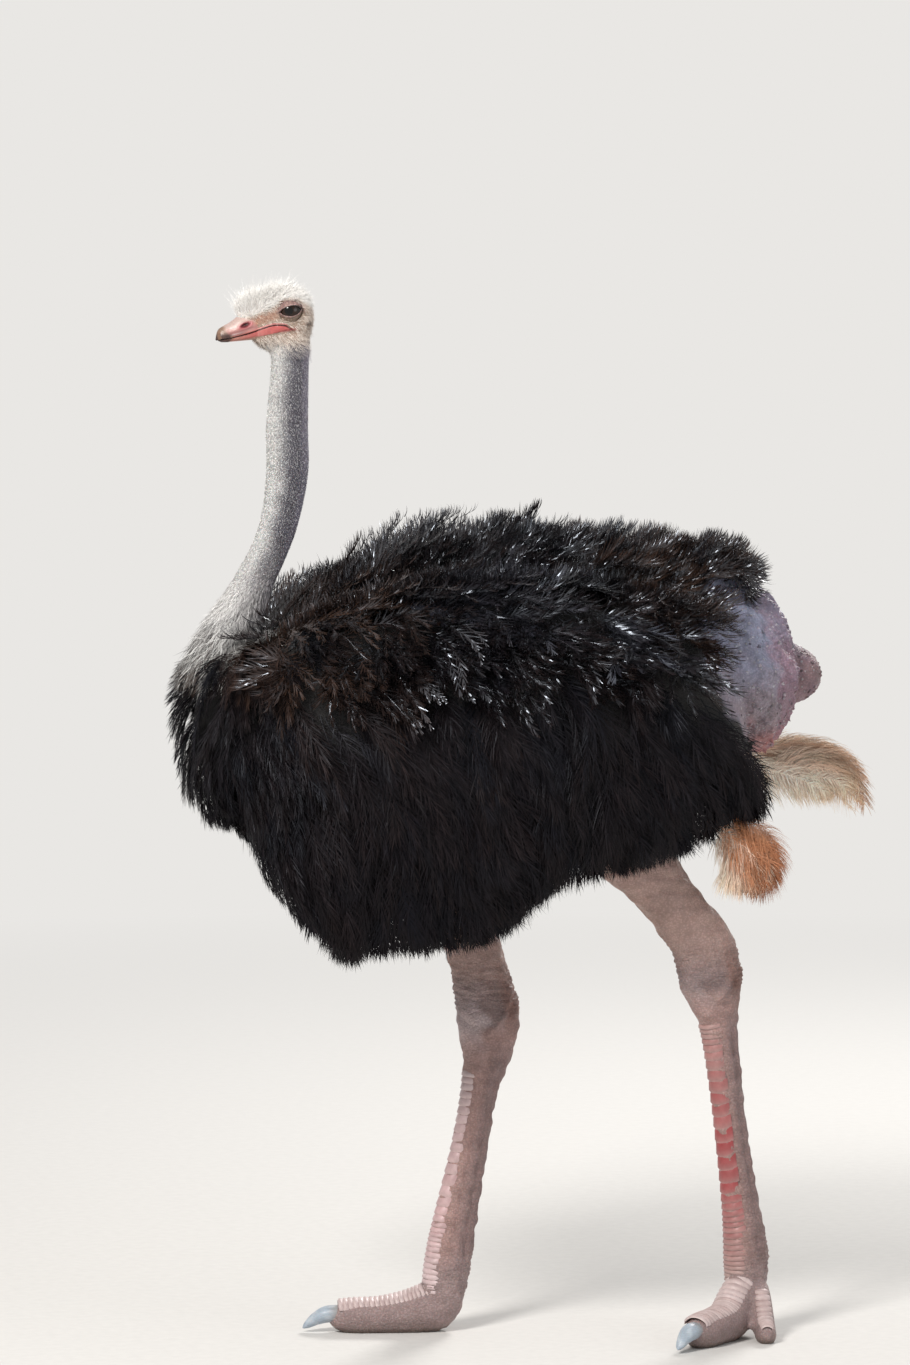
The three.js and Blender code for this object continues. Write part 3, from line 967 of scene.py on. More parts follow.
def skin_material():
    """Skin with blotches, fine wrinkles across it, and cracks between grains where the tint is grainy."""
    skin = Shader("skin", {"Subsurface Weight": 0.12, "Subsurface Scale": 0.008, "Specular IOR Level": 0.4})
    grains = skin.texture("Voronoi", 0.0042, (1, 1, 1)).outputs["Distance"]
    blotches = skin.noise(0.03, 4)
    fine = skin.noise(0.0016, 3)
    wrinkles = skin.noise(0.006, 4, (1, 1, 4.5))
    grainy = skin.tint("Alpha")
    tone = skin.shaded(skin.tint(), skin.scaled(blotches, 0.3, 0.7), 0.78)
    tone = skin.shaded(tone, skin.math("MULTIPLY", skin.scaled(grains, 0.25, 0.6, 0.0, 0.75), grainy), 0.5)
    tone = skin.shaded(tone, skin.scaled(wrinkles, 0.52, 0.7, 0.0, 0.3), 1.3)
    tone = skin.shaded(tone, skin.math("MULTIPLY", skin.scaled(fine, 0.45, 0.75, 0.0, 0.5), grainy), 0.7)
    height = grains
    for texture, share in ((wrinkles, 2.6), (fine, 0.5)):
        height = skin.math("ADD", height, skin.math("MULTIPLY", texture, share))
    return skin.finish(tone, skin.scaled(blotches, 0.3, 0.7, 0.48, 0.68), (height, 0.0011, 0.9))


def textured_material(name, constants, coarse, fine, rough, bump):
    """A tinted material shaded by two noises.

    coarse and fine are (size, detail, stretch, low, high, share, factor), and rough is its least and most.
    bump is whether the coarse noise makes it, the distance and the strength.
    """
    shader = Shader(name, constants)
    tone = shader.tint()
    noises = []
    for size, detail, stretch, low, high, share, factor in (coarse, fine):
        noises.append(shader.noise(size, detail, stretch))
        tone = shader.shaded(tone, shader.scaled(noises[-1], low, high, 0.0, share), factor)
    by_coarse, distance, strength = bump
    height = noises[0] if by_coarse else noises[1]
    return shader.finish(tone, shader.scaled(noises[0], 0.3, 0.7, *rough), (height, distance, strength))


EVEN = (1, 1, 1)


def vane_material(name, constants, stripe, rough, dark=0.6):
    """Barbs and strands: their tint, streaked and with a faint grain."""
    streaks = (stripe, 4, EVEN, 0.3, 0.7, 1.0, dark)
    grain = (stripe / 6, 2, EVEN, 0.5, 0.8, 0.6, 2.1 - dark)
    return textured_material(name, constants, streaks, grain, (rough, rough + 0.15), (False, 0.0003, 0.4))


def scute_material():
    blotches = (0.012, 4, EVEN, 0.3, 0.7, 1.0, 0.8)
    grain = (0.0012, 3, EVEN, 0.45, 0.75, 0.4, 0.7)
    constants = {"Specular IOR Level": 0.5}
    return textured_material("scutes", constants, blotches, grain, (0.36, 0.55), (False, 0.0004, 0.6))


def horn_material(name):
    """Bill and claws: tinted horn with fine lengthwise growth lines and worn specks."""
    lines = (0.0022, 4, (0.25, 1, 1.6), 0.35, 0.65, 0.6, 0.72)
    specks = (0.0009, 2, EVEN, 0.55, 0.75, 0.5, 1.35)
    constants = {"Specular IOR Level": 0.5, "Subsurface Weight": 0.05, "Subsurface Scale": 0.003}
    return textured_material(name, constants, lines, specks, (0.30, 0.48), (True, 0.0004, 0.5))


def eye_material():
    """A wet ball, nearly black, with a dark brown iris."""
    eye = Shader("eye", {"Coat Weight": 0.6, "Coat Roughness": 0.02, "Specular IOR Level": 0.05})
    fibres = eye.noise(0.0018, 4)
    tone = eye.shaded(eye.tint(), eye.scaled(fibres, 0.35, 0.7), 0.5)
    return eye.finish(tone, eye.scaled(fibres, 0.3, 0.7, 0.12, 0.2))


# ---- The plumage's outer surface ----
FRONT, REAR, LEVEL = MIDDLE - 0.42, MIDDLE + 0.34, 1.14  # ends and height of the line through the body
CAP = 0.25
CAP_ARC = CAP * math.pi / 2
FAR = 1.2  # more than the plumage reaches from the line
WIDEST = 0.62  # how far from the line the coat is scattered evenly; farther out it would be thinner
SPREAD = (0.7548776662, 0.5698402910)  # steps along and round whose places never bunch up


class Envelope:
    """How far the plumage of the solids reaches from a line through the body.

    A place on it is s, the way along from the breast to the tail, and a, the angle round it from the top.
    """

    def __init__(self, nodes, rows=150, columns=168):
        self.length = REAR - FRONT + 2 * CAP_ARC
        self.rows, self.columns = rows, columns
        points, faces = [], []
        for mesh in (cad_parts[name].data for name in nodes):
            faces += [[i + len(points) for i in corners] for corners in corners_of(mesh)]
            points += [v.co.copy() for v in mesh.vertices]
        tree = BVHTree.FromPolygons(points, faces)
        s = np.linspace(0, self.length, rows)[:, None]
        a = (np.arange(columns) / columns * 2 - 1)[None] * math.pi
        s, a = np.broadcast_arrays(s, a)
        centre, direction = self.aim(s, a)
        reach = np.full(s.shape, 0.1)
        for i, k in np.ndindex(s.shape):
            hit = tree.ray_cast(centre[i, k] + direction[i, k] * FAR, -direction[i, k], FAR)
            if hit[0]:
                reach[i, k] = FAR - hit[3]
        for _ in range(2):
            reach[1:-1] = (reach[:-2] + 2 * reach[1:-1] + reach[2:]) / 4
            reach = (np.roll(reach, 1, 1) + 2 * reach + np.roll(reach, -1, 1)) / 4
        self.reach = reach
        shell = centre + direction * reach[..., None]
        around = np.roll(shell, -1, 1) - np.roll(shell, 1, 1)
        self.normals = unit(np.cross(around, np.gradient(shell, axis=0)))
        self.normals *= np.sign((self.normals * direction).sum(-1, keepdims=True))
        self.normals[[0, -1]] = direction[[0, -1]]

    def aim(self, s, a):
        """The point of the axis and the direction at which places lie."""
        lean = (np.minimum(s - CAP_ARC, 0) + np.maximum(s - (self.length - CAP_ARC), 0)) / CAP
        x = FRONT + np.clip(s - CAP_ARC, 0, REAR - FRONT)
        centre = np.stack([x, np.zeros_like(x), np.full_like(x, LEVEL)], -1)
        return centre, np.stack([np.sin(lean), np.cos(lean) * np.sin(a), np.cos(lean) * np.cos(a)], -1)

    def locate(self, points):
        """The places that points are at or above."""
        x = np.clip(points[..., 0], FRONT, REAR)
        ahead, sideways, above = points[..., 0] - x, points[..., 1], points[..., 2] - LEVEL
        lean = np.arctan2(ahead, np.hypot(sideways, above))
        return CAP_ARC + (x - FRONT) + lean * CAP, np.arctan2(sideways, above)

    def read(self, grid, s, a):
        """The values of a grid at places, between its rows and columns."""
        i = np.clip(s / self.length * (self.rows - 1), 0, self.rows - 1.001)
        k = (a / math.pi + 1) / 2 * self.columns
        i0, k0 = np.floor(i).astype(int), np.floor(k).astype(int)
        down, aside = i - i0, k - k0
        if grid.ndim == 3:
            down, aside = down[..., None], aside[..., None]
        k0, k1 = k0 % self.columns, (k0 + 1) % self.columns
        low = mix(grid[i0, k0], grid[i0, k1], aside)
        high = mix(grid[i0 + 1, k0], grid[i0 + 1, k1], aside)
        return mix(low, high, down)

    def point(self, s, a, depth):
        centre, direction = self.aim(s, a)
        return centre + direction * (self.read(self.reach, s, a) - depth)[..., None]

    def normal(self, s, a):
        return unit(self.read(self.normals, s, a))

    def scatter(self, count, chosen, source):
        """Evenly spread places, this many to the square metre where chosen(points, normals) is 1."""
        step = 1e-3
        k = np.arange(int(count * self.length * CIRCLE * WIDEST))
        s = ((0.5 + k * SPREAD[0]) % 1) * self.length
        a = (((0.5 + k * SPREAD[1]) % 1) * 2 - 1) * math.pi
        here = self.point(s, a, 0)
        ahead = self.point(np.minimum(s + step, self.length), a, 0) - here
        around = self.point(s, wrapped(a + step), 0) - here
        area = np.linalg.norm(np.cross(ahead, around), axis=-1) / step**2 / WIDEST
        keep = source.random(len(k)) < np.minimum(area, 1.0) * chosen(here, self.normal(s, a))
        return s[keep], a[keep]


def wrapped(a):
    """Angles brought back between half a turn either way."""
    return (a + math.pi) % CIRCLE - math.pi


# ---- Strands and feathers ----
PATCH = 0.003  # size of one tuft's place on the OFBake map
SHAFT = 0.0016  # width of a feather's shaft
OVERHANG = 0.012  # how far strips may stand out of the solids' box at the sides
PRESSED = 0.75  # the share of the rest by which they are pressed in


class Coat:
    """Gathers thin tapering strips, tuft by tuft, and makes coat pieces of them."""

    def __init__(self):
        self.points, self.faces, self.tints, self.places, self.count = [], [], [], [], 0

    def add(self, centre, across, width, tint, place, order):
        """Strips along centre lines: n lines of m + 1 points with widths and colours.

        place is each line's root on the OFBake map, and order its turn from 0 to 1 within the tuft.
        """
        n, m = centre.shape[0], centre.shape[1] - 1

        def spread(values, size):
            """Values given along the centre lines, for the strips' points: both edges, then the tips."""
            return np.concatenate([values[:, :-1], values[:, :-1], values[:, -1:]], 1).reshape(-1, size)

        sides = np.concatenate([np.full(m, -0.5), np.full(m, 0.5), [0]])[None, :, None]
        edge = spread(across * width[..., None], 3).reshape(n, -1, 3) * sides
        k = np.arange(m - 1)
        walls = [np.stack([k, k + m, k + m + 1], -1), np.stack([k, k + m + 1, k + 1], -1)]
        strip = np.concatenate([*walls, [[m - 1, 2 * m - 1, 2 * m]]])
        first = self.count + np.arange(n)[:, None, None] * (2 * m + 1)
        along, turn = np.broadcast_arrays(np.linspace(0, 1, m + 1), order[:, None])
        offset = np.stack([turn, along], -1) - 0.5
        self.points.append(spread(centre, 3) + edge.reshape(-1, 3))
        self.faces.append((strip[None] + first).reshape(-1, 3))
        self.tints.append(spread(tint, 3))
        self.places.append(spread(place[:, None] + offset * PATCH, 2))
        self.count += n * (2 * m + 1)

    def piece(self, name, material):
        """One coat piece, pressed in where it would stand too far out of the solids' box at the sides."""
        points, faces = np.concatenate(self.points), np.concatenate(self.faces)
        outside = np.maximum(np.abs(points[:, 1]) - CAD_BOX[1][1] - OVERHANG, 0)
        points[:, 1] -= PRESSED * outside * np.sign(points[:, 1])
        obj = mesh_object(name, points, faces, material, np.clip(np.concatenate(self.tints), 0, 1))
        layer = obj.data.uv_layers.new(name="OFBake")
        layer.data.foreach_set("uv", np.concatenate(self.places)[faces.ravel()].astype(np.float32).ravel())
        return obj


def along_lines(lines, t):
    """Points and directions at shares t (n, m) of lines (n, k, 3)."""
    last = lines.shape[1] - 1
    place = np.clip(t, 0, 1) * last
    i = np.minimum(place.astype(int), last - 1)
    row = np.arange(len(lines))[:, None]
    low, high = lines[row, i], lines[row, i + 1]
    return mix(low, high, (place - i)[..., None]), unit(high - low)


def level(way, normals):
    """Directions laid flat on a surface."""
    return unit(way - normals * (way * normals).sum(-1, keepdims=True))


def turned(way, normals, angle):
    """Directions turned about their normals."""
    return way * np.cos(angle)[..., None] + np.cross(normals, way) * np.sin(angle)[..., None]


def flow(points, normals):
    """The way plumage lies: back over the back, down the breast, and down and a little back at the sides."""
    x, y, _ = from_legs(points)
    side = np.clip(y / 0.12, -1, 1)
    still = np.zeros_like(x)
    down = np.stack([0.32 + 0.45 * ease(x, 0.15, 0.4), 0.1 * side, still - 1], -1)
    back = np.stack([still + 1, 0.4 * side, still - 0.1], -1)
    front = np.stack([still - 0.02, 0.35 * side, still - 1], -1)
    way = mix(down, back, (ease(normals[..., 2], 0.15, 0.75) * ease(x, -0.5, -0.38))[..., None])
    way = mix(way, front, fall(x, -0.5, -0.36)[..., None])
    return turned(level(way, normals), normals, 0.32 * smooth_noise(points, 0.2, 31))


def lay(coat, s, a, length, deep, tip, turn, steps=7, free=0.006):
    """Centre lines and facings of feathers that root deep under places s, a.

    They follow the lie of the coat, each turned by its own angle, and hang free where the coat turns under.
    """
    at = coat.point(s, a, deep)
    normal = coat.normal(s, a)
    way = flow(at, normal)
    path, facing = [at], [normal]
    loose = np.zeros((len(s), 1), bool)
    for k in range(steps):
        way = np.where(loose, unit(way - 0.3 * UP), turned(flow(at, normal), normal, turn))
        ahead = at + way * (length / steps)[:, None]
        s, a = coat.locate(ahead)
        target = coat.point(s, a, mix(deep, tip, ((k + 1) / steps) ** 0.8))
        loose = loose | ((np.linalg.norm(target - ahead, axis=1) > 0.03) | (normal[:, 2] < -0.5))[:, None]
        at = np.where(loose, at + way * free, target)
        normal = np.where(loose, normal, coat.normal(s, a))
        path.append(at)
        facing.append(normal)
    return np.stack(path, 1), np.stack(facing, 1)


def feather(strips, path, facing, tints, place, source, barbs, reach, width, curl, segments,
            splay=(60, 12), first=0.12, sag=0.0):
    """Adds feathers along paths: a shaft each, and barbs on both sides that bend toward its tip.

    tints is (root colour, tip colour) of each feather.
    """
    n, m = len(path), 2 * barbs
    t = np.tile(np.linspace(first, 1, barbs), 2) + source.uniform(-0.5, 0.5, (n, m)) * (1 - first) / barbs
    t = np.clip(t, 0, 0.995)
    side = np.repeat([-1.0, 1.0], barbs)[None, :, None]
    base, tangent = along_lines(path, t)
    normal = unit(along_lines(facing, t)[0])
    sideways = unit(np.cross(normal, tangent)) * side
    angle = np.radians(mix(*splay, t)) * source.uniform(0.75, 1.25, (n, m))
    size = reach * (0.55 + 0.6 * np.sin(math.pi * t**0.8)) * source.uniform(0.75, 1.2, (n, m))
    twist = source.normal(0, 0.4, (n, 1, 1)) + source.normal(0, 0.2, (n, m, 1))
    stray = source.normal(0, 0.08, (n, m, 3))
    lift = curl * source.uniform(0.6, 1.3, (n, 1)) * source.uniform(0.85, 1.15, (n, m))
    line, across = [base], []
    for k in range(segments):
        f = (k + 0.5) / segments
        bend = (angle * (1 - 0.5 * f))[..., None]
        flat = tangent * np.cos(bend) + sideways * np.sin(bend) + stray * (0.5 + f)
        rise = (lift * f**1.3)[..., None]
        step = unit(flat * np.cos(rise) + normal * np.sin(rise) - UP * sag * f)
        line.append(line[-1] + step * (size / segments)[..., None])
        across.append(unit(np.cross(flat, normal + sideways * twist)))
    across.append(across[-1])
    shape = (n * m, segments + 1, 3)
    wide = width * source.uniform(0.7, 1.3, (n * m, 1)) * np.linspace(1, 0.45, segments + 1)
    share = np.clip(0.6 * t[..., None] + 0.4 * np.linspace(0, 1, segments + 1), 0, 1)[..., None]
    tone = source.uniform(0.75, 1.3, (n, m, 1, 1))
    colour = mix(tints[0][:, None, None], tints[1][:, None, None], share**2) * tone
    order = np.tile(np.linspace(0, 1, m), n)
    line, across = np.stack(line, 2).reshape(shape), np.stack(across, 2).reshape(shape)
    strips.add(line, across, wide, colour.reshape(shape), np.repeat(place, m, 0), order)

    steps = path.shape[1]
    stem = np.linspace(1, 0.3, steps)[None] * SHAFT * np.ones((n, 1))
    colour = mix(tints[0][:, None], tints[1][:, None], np.linspace(0, 1, steps)[None, :, None]) * 1.15
    way = unit(np.gradient(path, axis=1))
    strips.add(path, unit(np.cross(way, facing)), stem, colour, place, np.full(n, 0.5))


# ---- Plumage ----
LIMIT = 190_000  # triangles in one coat piece


def wears_plumage(points):
    """1 where the coat grows: not under the neck or on the bare rump."""
    x, _, z = from_legs(points)
    rump = (x > rump_edge(z) - 0.05) & (z > 0.99) & (z < 1.395)
    centre, deep, *_ = NECK_TUBE.axes(np.linspace(0.6, 1, 60))
    near = np.linalg.norm(points[:, None] - centre[None], axis=2).argmin(1)
    neck = (np.linalg.norm(points - centre[near], axis=1) < deep[near, 0] * 1.02) & (z > 1.205)
    return 1.0 - (rump | neck)


def on_back(points, normals):
    x, _, z = from_legs(points)
    return np.maximum(ease(normals[:, 2], 0.25, 0.55), ease(z, 1.21, 1.30)) * ease(x, -0.47, -0.40)


def on_breast(points, normals):
    return fall(points[:, 0] - MIDDLE, -0.46, -0.38)


def on_belly(points, normals):
    return ease(-normals[:, 2], 0.35, 0.6) * (1 - on_breast(points, normals))


def on_side(points, normals):
    return np.clip(1 - sum(on(points, normals) for on in (on_back, on_breast, on_belly)), 0, 1)


def on_hem(points, normals):
    return on_side(points, normals) * fall(points[:, 2], 0.98, 1.08) * (np.abs(points[:, 1]) > 0.1)


def on_collar(points, normals):
    x, _, z = from_legs(points)
    return ease(x, -0.37, -0.33) * fall(x, -0.22, -0.10) * ease(z, 1.22, 1.30)


# Feathers' shapes: barbs on each side and their parts, how long, broad and curled they are, and their angles.
CURLED = {"barbs": 11, "reach": 0.040, "curl": 1.8, "segments": 4, "width": 0.0023}
LONG = {"barbs": 13, "reach": 0.05, "curl": -0.15, "segments": 3, "width": 0.0015, "splay": (50, 8)}
NEAT = {"barbs": 11, "reach": 0.034, "curl": 0.1, "segments": 3, "width": 0.0016, "splay": (48, 8)}
LOW = {"barbs": 9, "reach": 0.045, "curl": 0.1, "segments": 2, "width": 0.0022, "splay": (50, 10)}
# Groups: where, feathers to the square metre and to a bunch, length, depths of root and tip, shape,
# how brown the tips are, how much the feathers turn, how much their tips rise and fall, and the material.
GROUPS = {
    "back": (on_back, 4300, 4, 0.090, 0.045, -0.006, CURLED, 0.35, 0.85, 0.014, "glossy"),
    "collar": (on_collar, 1300, 5, 0.110, 0.040, -0.030, CURLED, 0.6, 0.6, 0.012, "glossy"),
    "side": (on_side, 2800, 4, 0.150, 0.045, 0.000, LONG, 0.15, 0.10, 0.006, "matt"),
    "breast": (on_breast, 3800, 3, 0.090, 0.042, 0.001, NEAT, 0.05, 0.10, 0.004, "matt"),
    "belly": (on_belly, 1900, 2, 0.095, 0.040, 0.006, LOW, 0.2, 0.25, 0.003, "matt"),
    "hem": (on_hem, 3100, 3, 0.130, 0.075, 0.034, LONG, 0.5, 0.45, 0.012, "matt"),
}


def wing_edge(shell):
    """1 on the crest along the folded wing's upper edge, and 1 in the valley above it."""
    rise = above_wing(shell) + 0.015 * smooth_noise(shell, 0.15, 44)
    beside = ease(np.abs(shell[:, 1]), 0.10, 0.16) * ease(shell[:, 0] - MIDDLE, -0.25, -0.1)
    return bell(rise, -0.005, 0.022) * beside, bell(rise, 0.042, 0.022) * beside


def build_plumage(coat, materials):
    """The feathers group by group, in bunches."""
    source = np.random.default_rng(41)
    pieces = []
    for name, group in GROUPS.items():
        where, count, bunch, length, root, tip, shape, brown, stir, ruffle, finish = group
        s, a = coat.scatter(count / bunch, lambda p, n: where(p, n) * wears_plumage(p), source)
        shell = coat.point(s, a, 0)
        turn = stir * smooth_noise(shell, 0.085, 43) + source.normal(0, 0.3 * stir, len(s))
        tips = tip + source.uniform(-0.010, 0.012, len(s)) - ruffle * smooth_noise(shell, 0.07, 42)
        crest, valley = wing_edge(shell)
        tips = tips - 0.020 * crest + 0.016 * valley
        lengths = length * source.uniform(0.65, 1.2, len(s)) * (1 + 0.3 * smooth_noise(shell, 0.06, 45))

        one = np.repeat(np.arange(len(s)), bunch)
        total = len(one)
        s = np.clip(s[one] + source.normal(0, 0.010, total), 0, coat.length)
        a = wrapped(a[one] + source.normal(0, 0.035, total))
        lengths = lengths[one] * source.uniform(0.85, 1.15, total)
        turn = turn[one] + source.normal(0, 0.14, total)
        path, facing = lay(coat, s, a, lengths, root, tips[one], turn)

        dark = plumage_colour(shell[one]) * source.uniform(0.6, 1.25, (total, 1))
        worn = painted(dark, ("worn tip", brown * source.uniform(0.3, 1.0, total)))
        # Painted light along the folded wing's upper edge: a bluish painted highlight on some back feathers of
        # the crest, and painted shade, down to half brightness, in the valley above it.
        shine = crest[one] * source.uniform(0, 0.4, total) * (name == "back")
        tints = [painted(tint, ("shine", shine)) * (1 - 0.5 * valley[one])[:, None] for tint in (dark, worn)]
        place = np.stack([0.02 + 0.6 * s / coat.length, 0.5 + 0.48 * a / math.pi], -1)
        share = LIMIT // (2 * shape["barbs"] * (2 * shape["segments"] - 1) + 13)
        for number, start in enumerate(range(0, total, share)):
            some = slice(start, start + share)
            strips = Coat()
            feather(strips, path[some], facing[some], [t[some] for t in tints], place[some], source, **shape)
            pieces.append(strips.piece(f"plumage_{name}_{number + 1}", materials[finish]))
    return pieces


# ---- Pale plumes at the wings' rear ends ----
# For each side: the stations of the bundle, the seed, and how brown the lower plumes are.
PLUMES = {
    "left": (
        [
            [340, -166, 985, 40, 24],
            [396, -176, 926, 60, 32],
            [428, -180, 890, 62, 32],
            [438, -178, 856, 46, 24],
            [428, -176, 836, 22, 14],
        ],
        51,
        1.7,
    ),
    "right": (
        [
            [400, 140, 1075, 44, 26],
            [530, 162, 1012, 78, 38],
            [610, 172, 1008, 58, 38],
            [690, 178, 985, 44, 30],
            [738, 180, 920, 22, 16],
        ],
        52,
        0.4,
    ),
}
PLUME = {"barbs": 70, "reach": 0.052, "width": 0.0011, "curl": 0.5, "segments": 5, "splay": (66, 40),
         "first": 0.03, "sag": 1.0}


def build_plumes(name, material):
    """A loose bundle of drooping, curling plumes, cream above and orange-brown toward their tips."""
    stations, seed, brown = PLUMES[name]
    source = np.random.default_rng(seed)
    count, steps = 40, 16
    share = np.linspace(0, 1, steps)[None]
    reach = np.sqrt(source.random((count, 1))) * (0.5 + 0.5 * share)
    angle = source.random((count, 1)) * CIRCLE + share * source.uniform(-1.5, 1.5, (count, 1))
    t = mix(source.uniform(0.12, 0.35, (count, 1)), source.uniform(0.7, 1.0, (count, 1)), share)
    centre, deep, wide, outward, across, _ = Tube(stations).axes(t)
    c, s = np.cos(angle)[..., None], np.sin(angle)[..., None]
    path = centre + (outward * deep * c + across * wide * s) * reach[..., None]
    facing = unit(outward * c * 0.6 + ACROSS * SIDES[name] + UP * 0.5)
    low = np.clip(0.5 - 0.5 * np.cos(angle[:, -1]), 0, 1)
    warmth = np.clip(low * brown + source.uniform(-0.3, 0.2, (count, 1))[:, 0], 0, 1)
    root = painted(coloured("white plume", count), ("brown plume", warmth * 0.9))
    tip = painted(coloured("cream tip", count), ("brown tip", warmth))
    place = 0.66 + 0.32 * np.concatenate([source.random((count, 1)), 0.3 * source.random((count, 1))], 1)
    strips = Coat()
    feather(strips, path, facing, (root, tip), place, source, **PLUME)
    return strips.piece(f"plumes_{name}", material)


# ---- Eyes and lids ----
EYE_TILT = math.radians(18)  # how far forward the eyes look
LID_TOP, LID_FOOT, LID_LONG = 10.0, 9.4, 19.0
# Rings of the lids: how far out from the eye's opening, and how proud.
LID_RINGS = [(-0.9, 0.0), (-0.6, 0.9), (0.0, 1.7), (0.7, 2.0), (1.4, 1.6), (2.4, 1.3), (3.6, 1.35),
             (5.0, 1.4), (6.4, 1.1), (7.6, 0.35), (8.6, 0.5), (9.6, 0.6), (10.8, -1.2)]


def build_eye(name, material):
    """A wet eyeball with a slightly bulging front, a black pupil and a dark brown iris."""
    side = SIDES[name]
    middle = head_frame(*EYE_AT, side * EYE_SIDE)
    gaze = unit(np.array([-math.sin(EYE_TILT), side * math.cos(EYE_TILT), 0]))
    across = unit(np.cross(gaze, UP))
    theta = np.linspace(0.02, math.pi - 0.02, 56)[:, None]
    turn = angles(64)
    radius = (EYE_R + 0.7 * np.exp(-((theta / 0.55) ** 4))) * MM
    shares = (np.cos(theta) + 0 * turn, np.sin(theta) * np.cos(turn), np.sin(theta) * np.sin(turn))
    axes = (gaze, across, np.cross(across, gaze))
    rings = sum(axis * (share * radius)[..., None] for axis, share in zip(axes, shares))
    points, faces = loft(middle + rings)
    offset = np.degrees(np.arccos(np.clip(unit(points - middle) @ gaze, -1, 1)))
    layers = ("iris", ease(offset, 20, 23)), ("white of the eye", ease(offset, 44, 50))
    tint = painted(coloured("pupil", len(points)), *layers)
    return closed_object(f"eyeball_{name}", points, faces, material, tint)


def flank_reader(skin):
    """A function that reads how far out the skin is, in millimetres, at places seen from the side."""
    tree = BVHTree.FromPolygons([v.co for v in skin.data.vertices], corners_of(skin.data))

    def read(forward, height, side):
        found = np.zeros(forward.shape)
        for index in np.ndindex(found.shape):
            start = head_frame(forward[index], height[index], side * 90)
            hit = tree.ray_cast(Vector(start), Vector((0, -side, 0)), 0.09)
            found[index] = abs(hit[0].y) / MM if hit[0] else 0
        return found

    return read


def almond(turn, grow):
    """Places round the eye's opening, grown by this many millimetres: forward and up."""
    c, s = np.cos(turn), np.sin(turn)
    high = np.where(s > 0, LID_TOP + grow, LID_FOOT + grow * np.where(grow > 0, 0.42, 1))
    pointed = mix(np.abs(s) ** 1.25, np.abs(s), ease(grow, 1, 9))
    return EYE_OPENING[0] + c * (LID_LONG + grow * 0.62), EYE_OPENING[1] + np.sign(s) * pointed * high


def build_lids(name, read, material):
    """Both lids in one ring: a rolled rim on the ball, the lid, its crease and the edge under the skin."""
    side = SIDES[name]
    turn = angles(120)
    grow, proud = np.array(LID_RINGS).T[..., None]
    forward, height = almond(turn, grow)
    upper = ease(np.sin(turn), -0.1, 0.4)
    ball = eye_ball_side(from_eye(forward, height), proud * mix(0.75, 1.1, upper))
    skin = read(*almond(turn, np.maximum(grow, 1.5)), side)
    out = np.maximum(ball, skin - 0.3 + proud * mix(0.6, 1.0, fall(grow, 1.0, 4.0)))
    out = np.where(grow > 10, skin + proud, out)
    points = head_frame(forward, height, side * out).reshape(-1, 3)
    faces = grid_faces(*forward.shape)
    grown, over = (v.ravel() for v in np.broadcast_arrays(grow, upper))
    tint = painted(
        coloured("lid", len(points)),
        ("lid's rim", fall(grown, -0.8, 0.2)),
        ("lid's roll", bell(grown, 1.0, 0.9) * 0.85),
        # Painted shade in the crease above the upper lid.
        ("lid's crease shade", bell(grown, 7.7, 1.1) * 0.8 * over),
        ("lower lid", ease(grown, 1.8, 4.0) * (1 - over) * 0.85),
    )
    tint = mix(tint, markings(points), ease(grown, 8.6, 10.5)[:, None])
    return mesh_object(f"lids_{name}", points, faces if side > 0 else faces[:, ::-1], material, tint)


def build_lashes(side, strips, source):
    """Bristly lashes from the upper rim, curving out and down over the eye."""
    count, segments = 46, 4
    turn = np.linspace(0.12, math.pi - 0.15, count)
    forward, height = almond(turn, 0.9)
    out = eye_ball_side(from_eye(forward, height), 1.6)
    ahead = np.cos(turn)[:, None] * -BACKWARD * 0.45
    way = unit(ahead + ACROSS * side * 0.9 + UP * source.uniform(-0.15, 0.25, (count, 1)))
    length = source.uniform(0.009, 0.014, count)[:, None]
    line = [head_frame(forward, height, side * out)]
    for _ in range(segments):
        way = unit(way - UP * 0.16 + source.normal(0, 0.05, (count, 3)))
        line.append(line[-1] + way * length / segments)
    line = np.stack(line, 1)
    across = np.broadcast_to(unit(np.cross(way, ACROSS * side + 0.01))[:, None], line.shape)
    width = np.linspace(0.0006, 0.0003, segments + 1)[None] * np.ones((count, 1))
    order = np.linspace(0, 1, count)
    place = np.stack([0.94 + 0.03 * order, np.full(count, 0.5 + 0.05 * side)], -1)
    strips.add(line, across, width, np.broadcast_to(COLOURS["lash"], line.shape), place, order)


# ---- Bill ----
# Heights above the mouth's corner, or half widths, at places ahead of it.
MOUTH_LINE = [[4, -12], [16, -4], [30, 1.5], [43, 3.6], [56, 0.5], [69, -2.6], [88, -5.4], [106, -7.6],
              [124, -9], [142, -8.2]]
CULMEN = [[60, 30], [78, 29.5], [96, 26], [108, 19.5], [116, 16], [124, 13], [132, 9.5], [138, 5.5],
          [141.6, 0]]
BILL_SIDE = [[60, 21], [78, 21.5], [92, 21], [106, 18.5], [118, 15.6], [128, 13.6], [136, 11],
             [141.6, 5.5]]
JAW_FOOT = [[50, -19], [72, -19.5], [98, -17.8], [118, -16.4], [132, -14.6], [138, -12.6]]
JAW_SIDE = [[50, 20], [72, 19.5], [92, 18.2], [108, 16], [120, 13.4], [130, 10.4], [138, 4]]
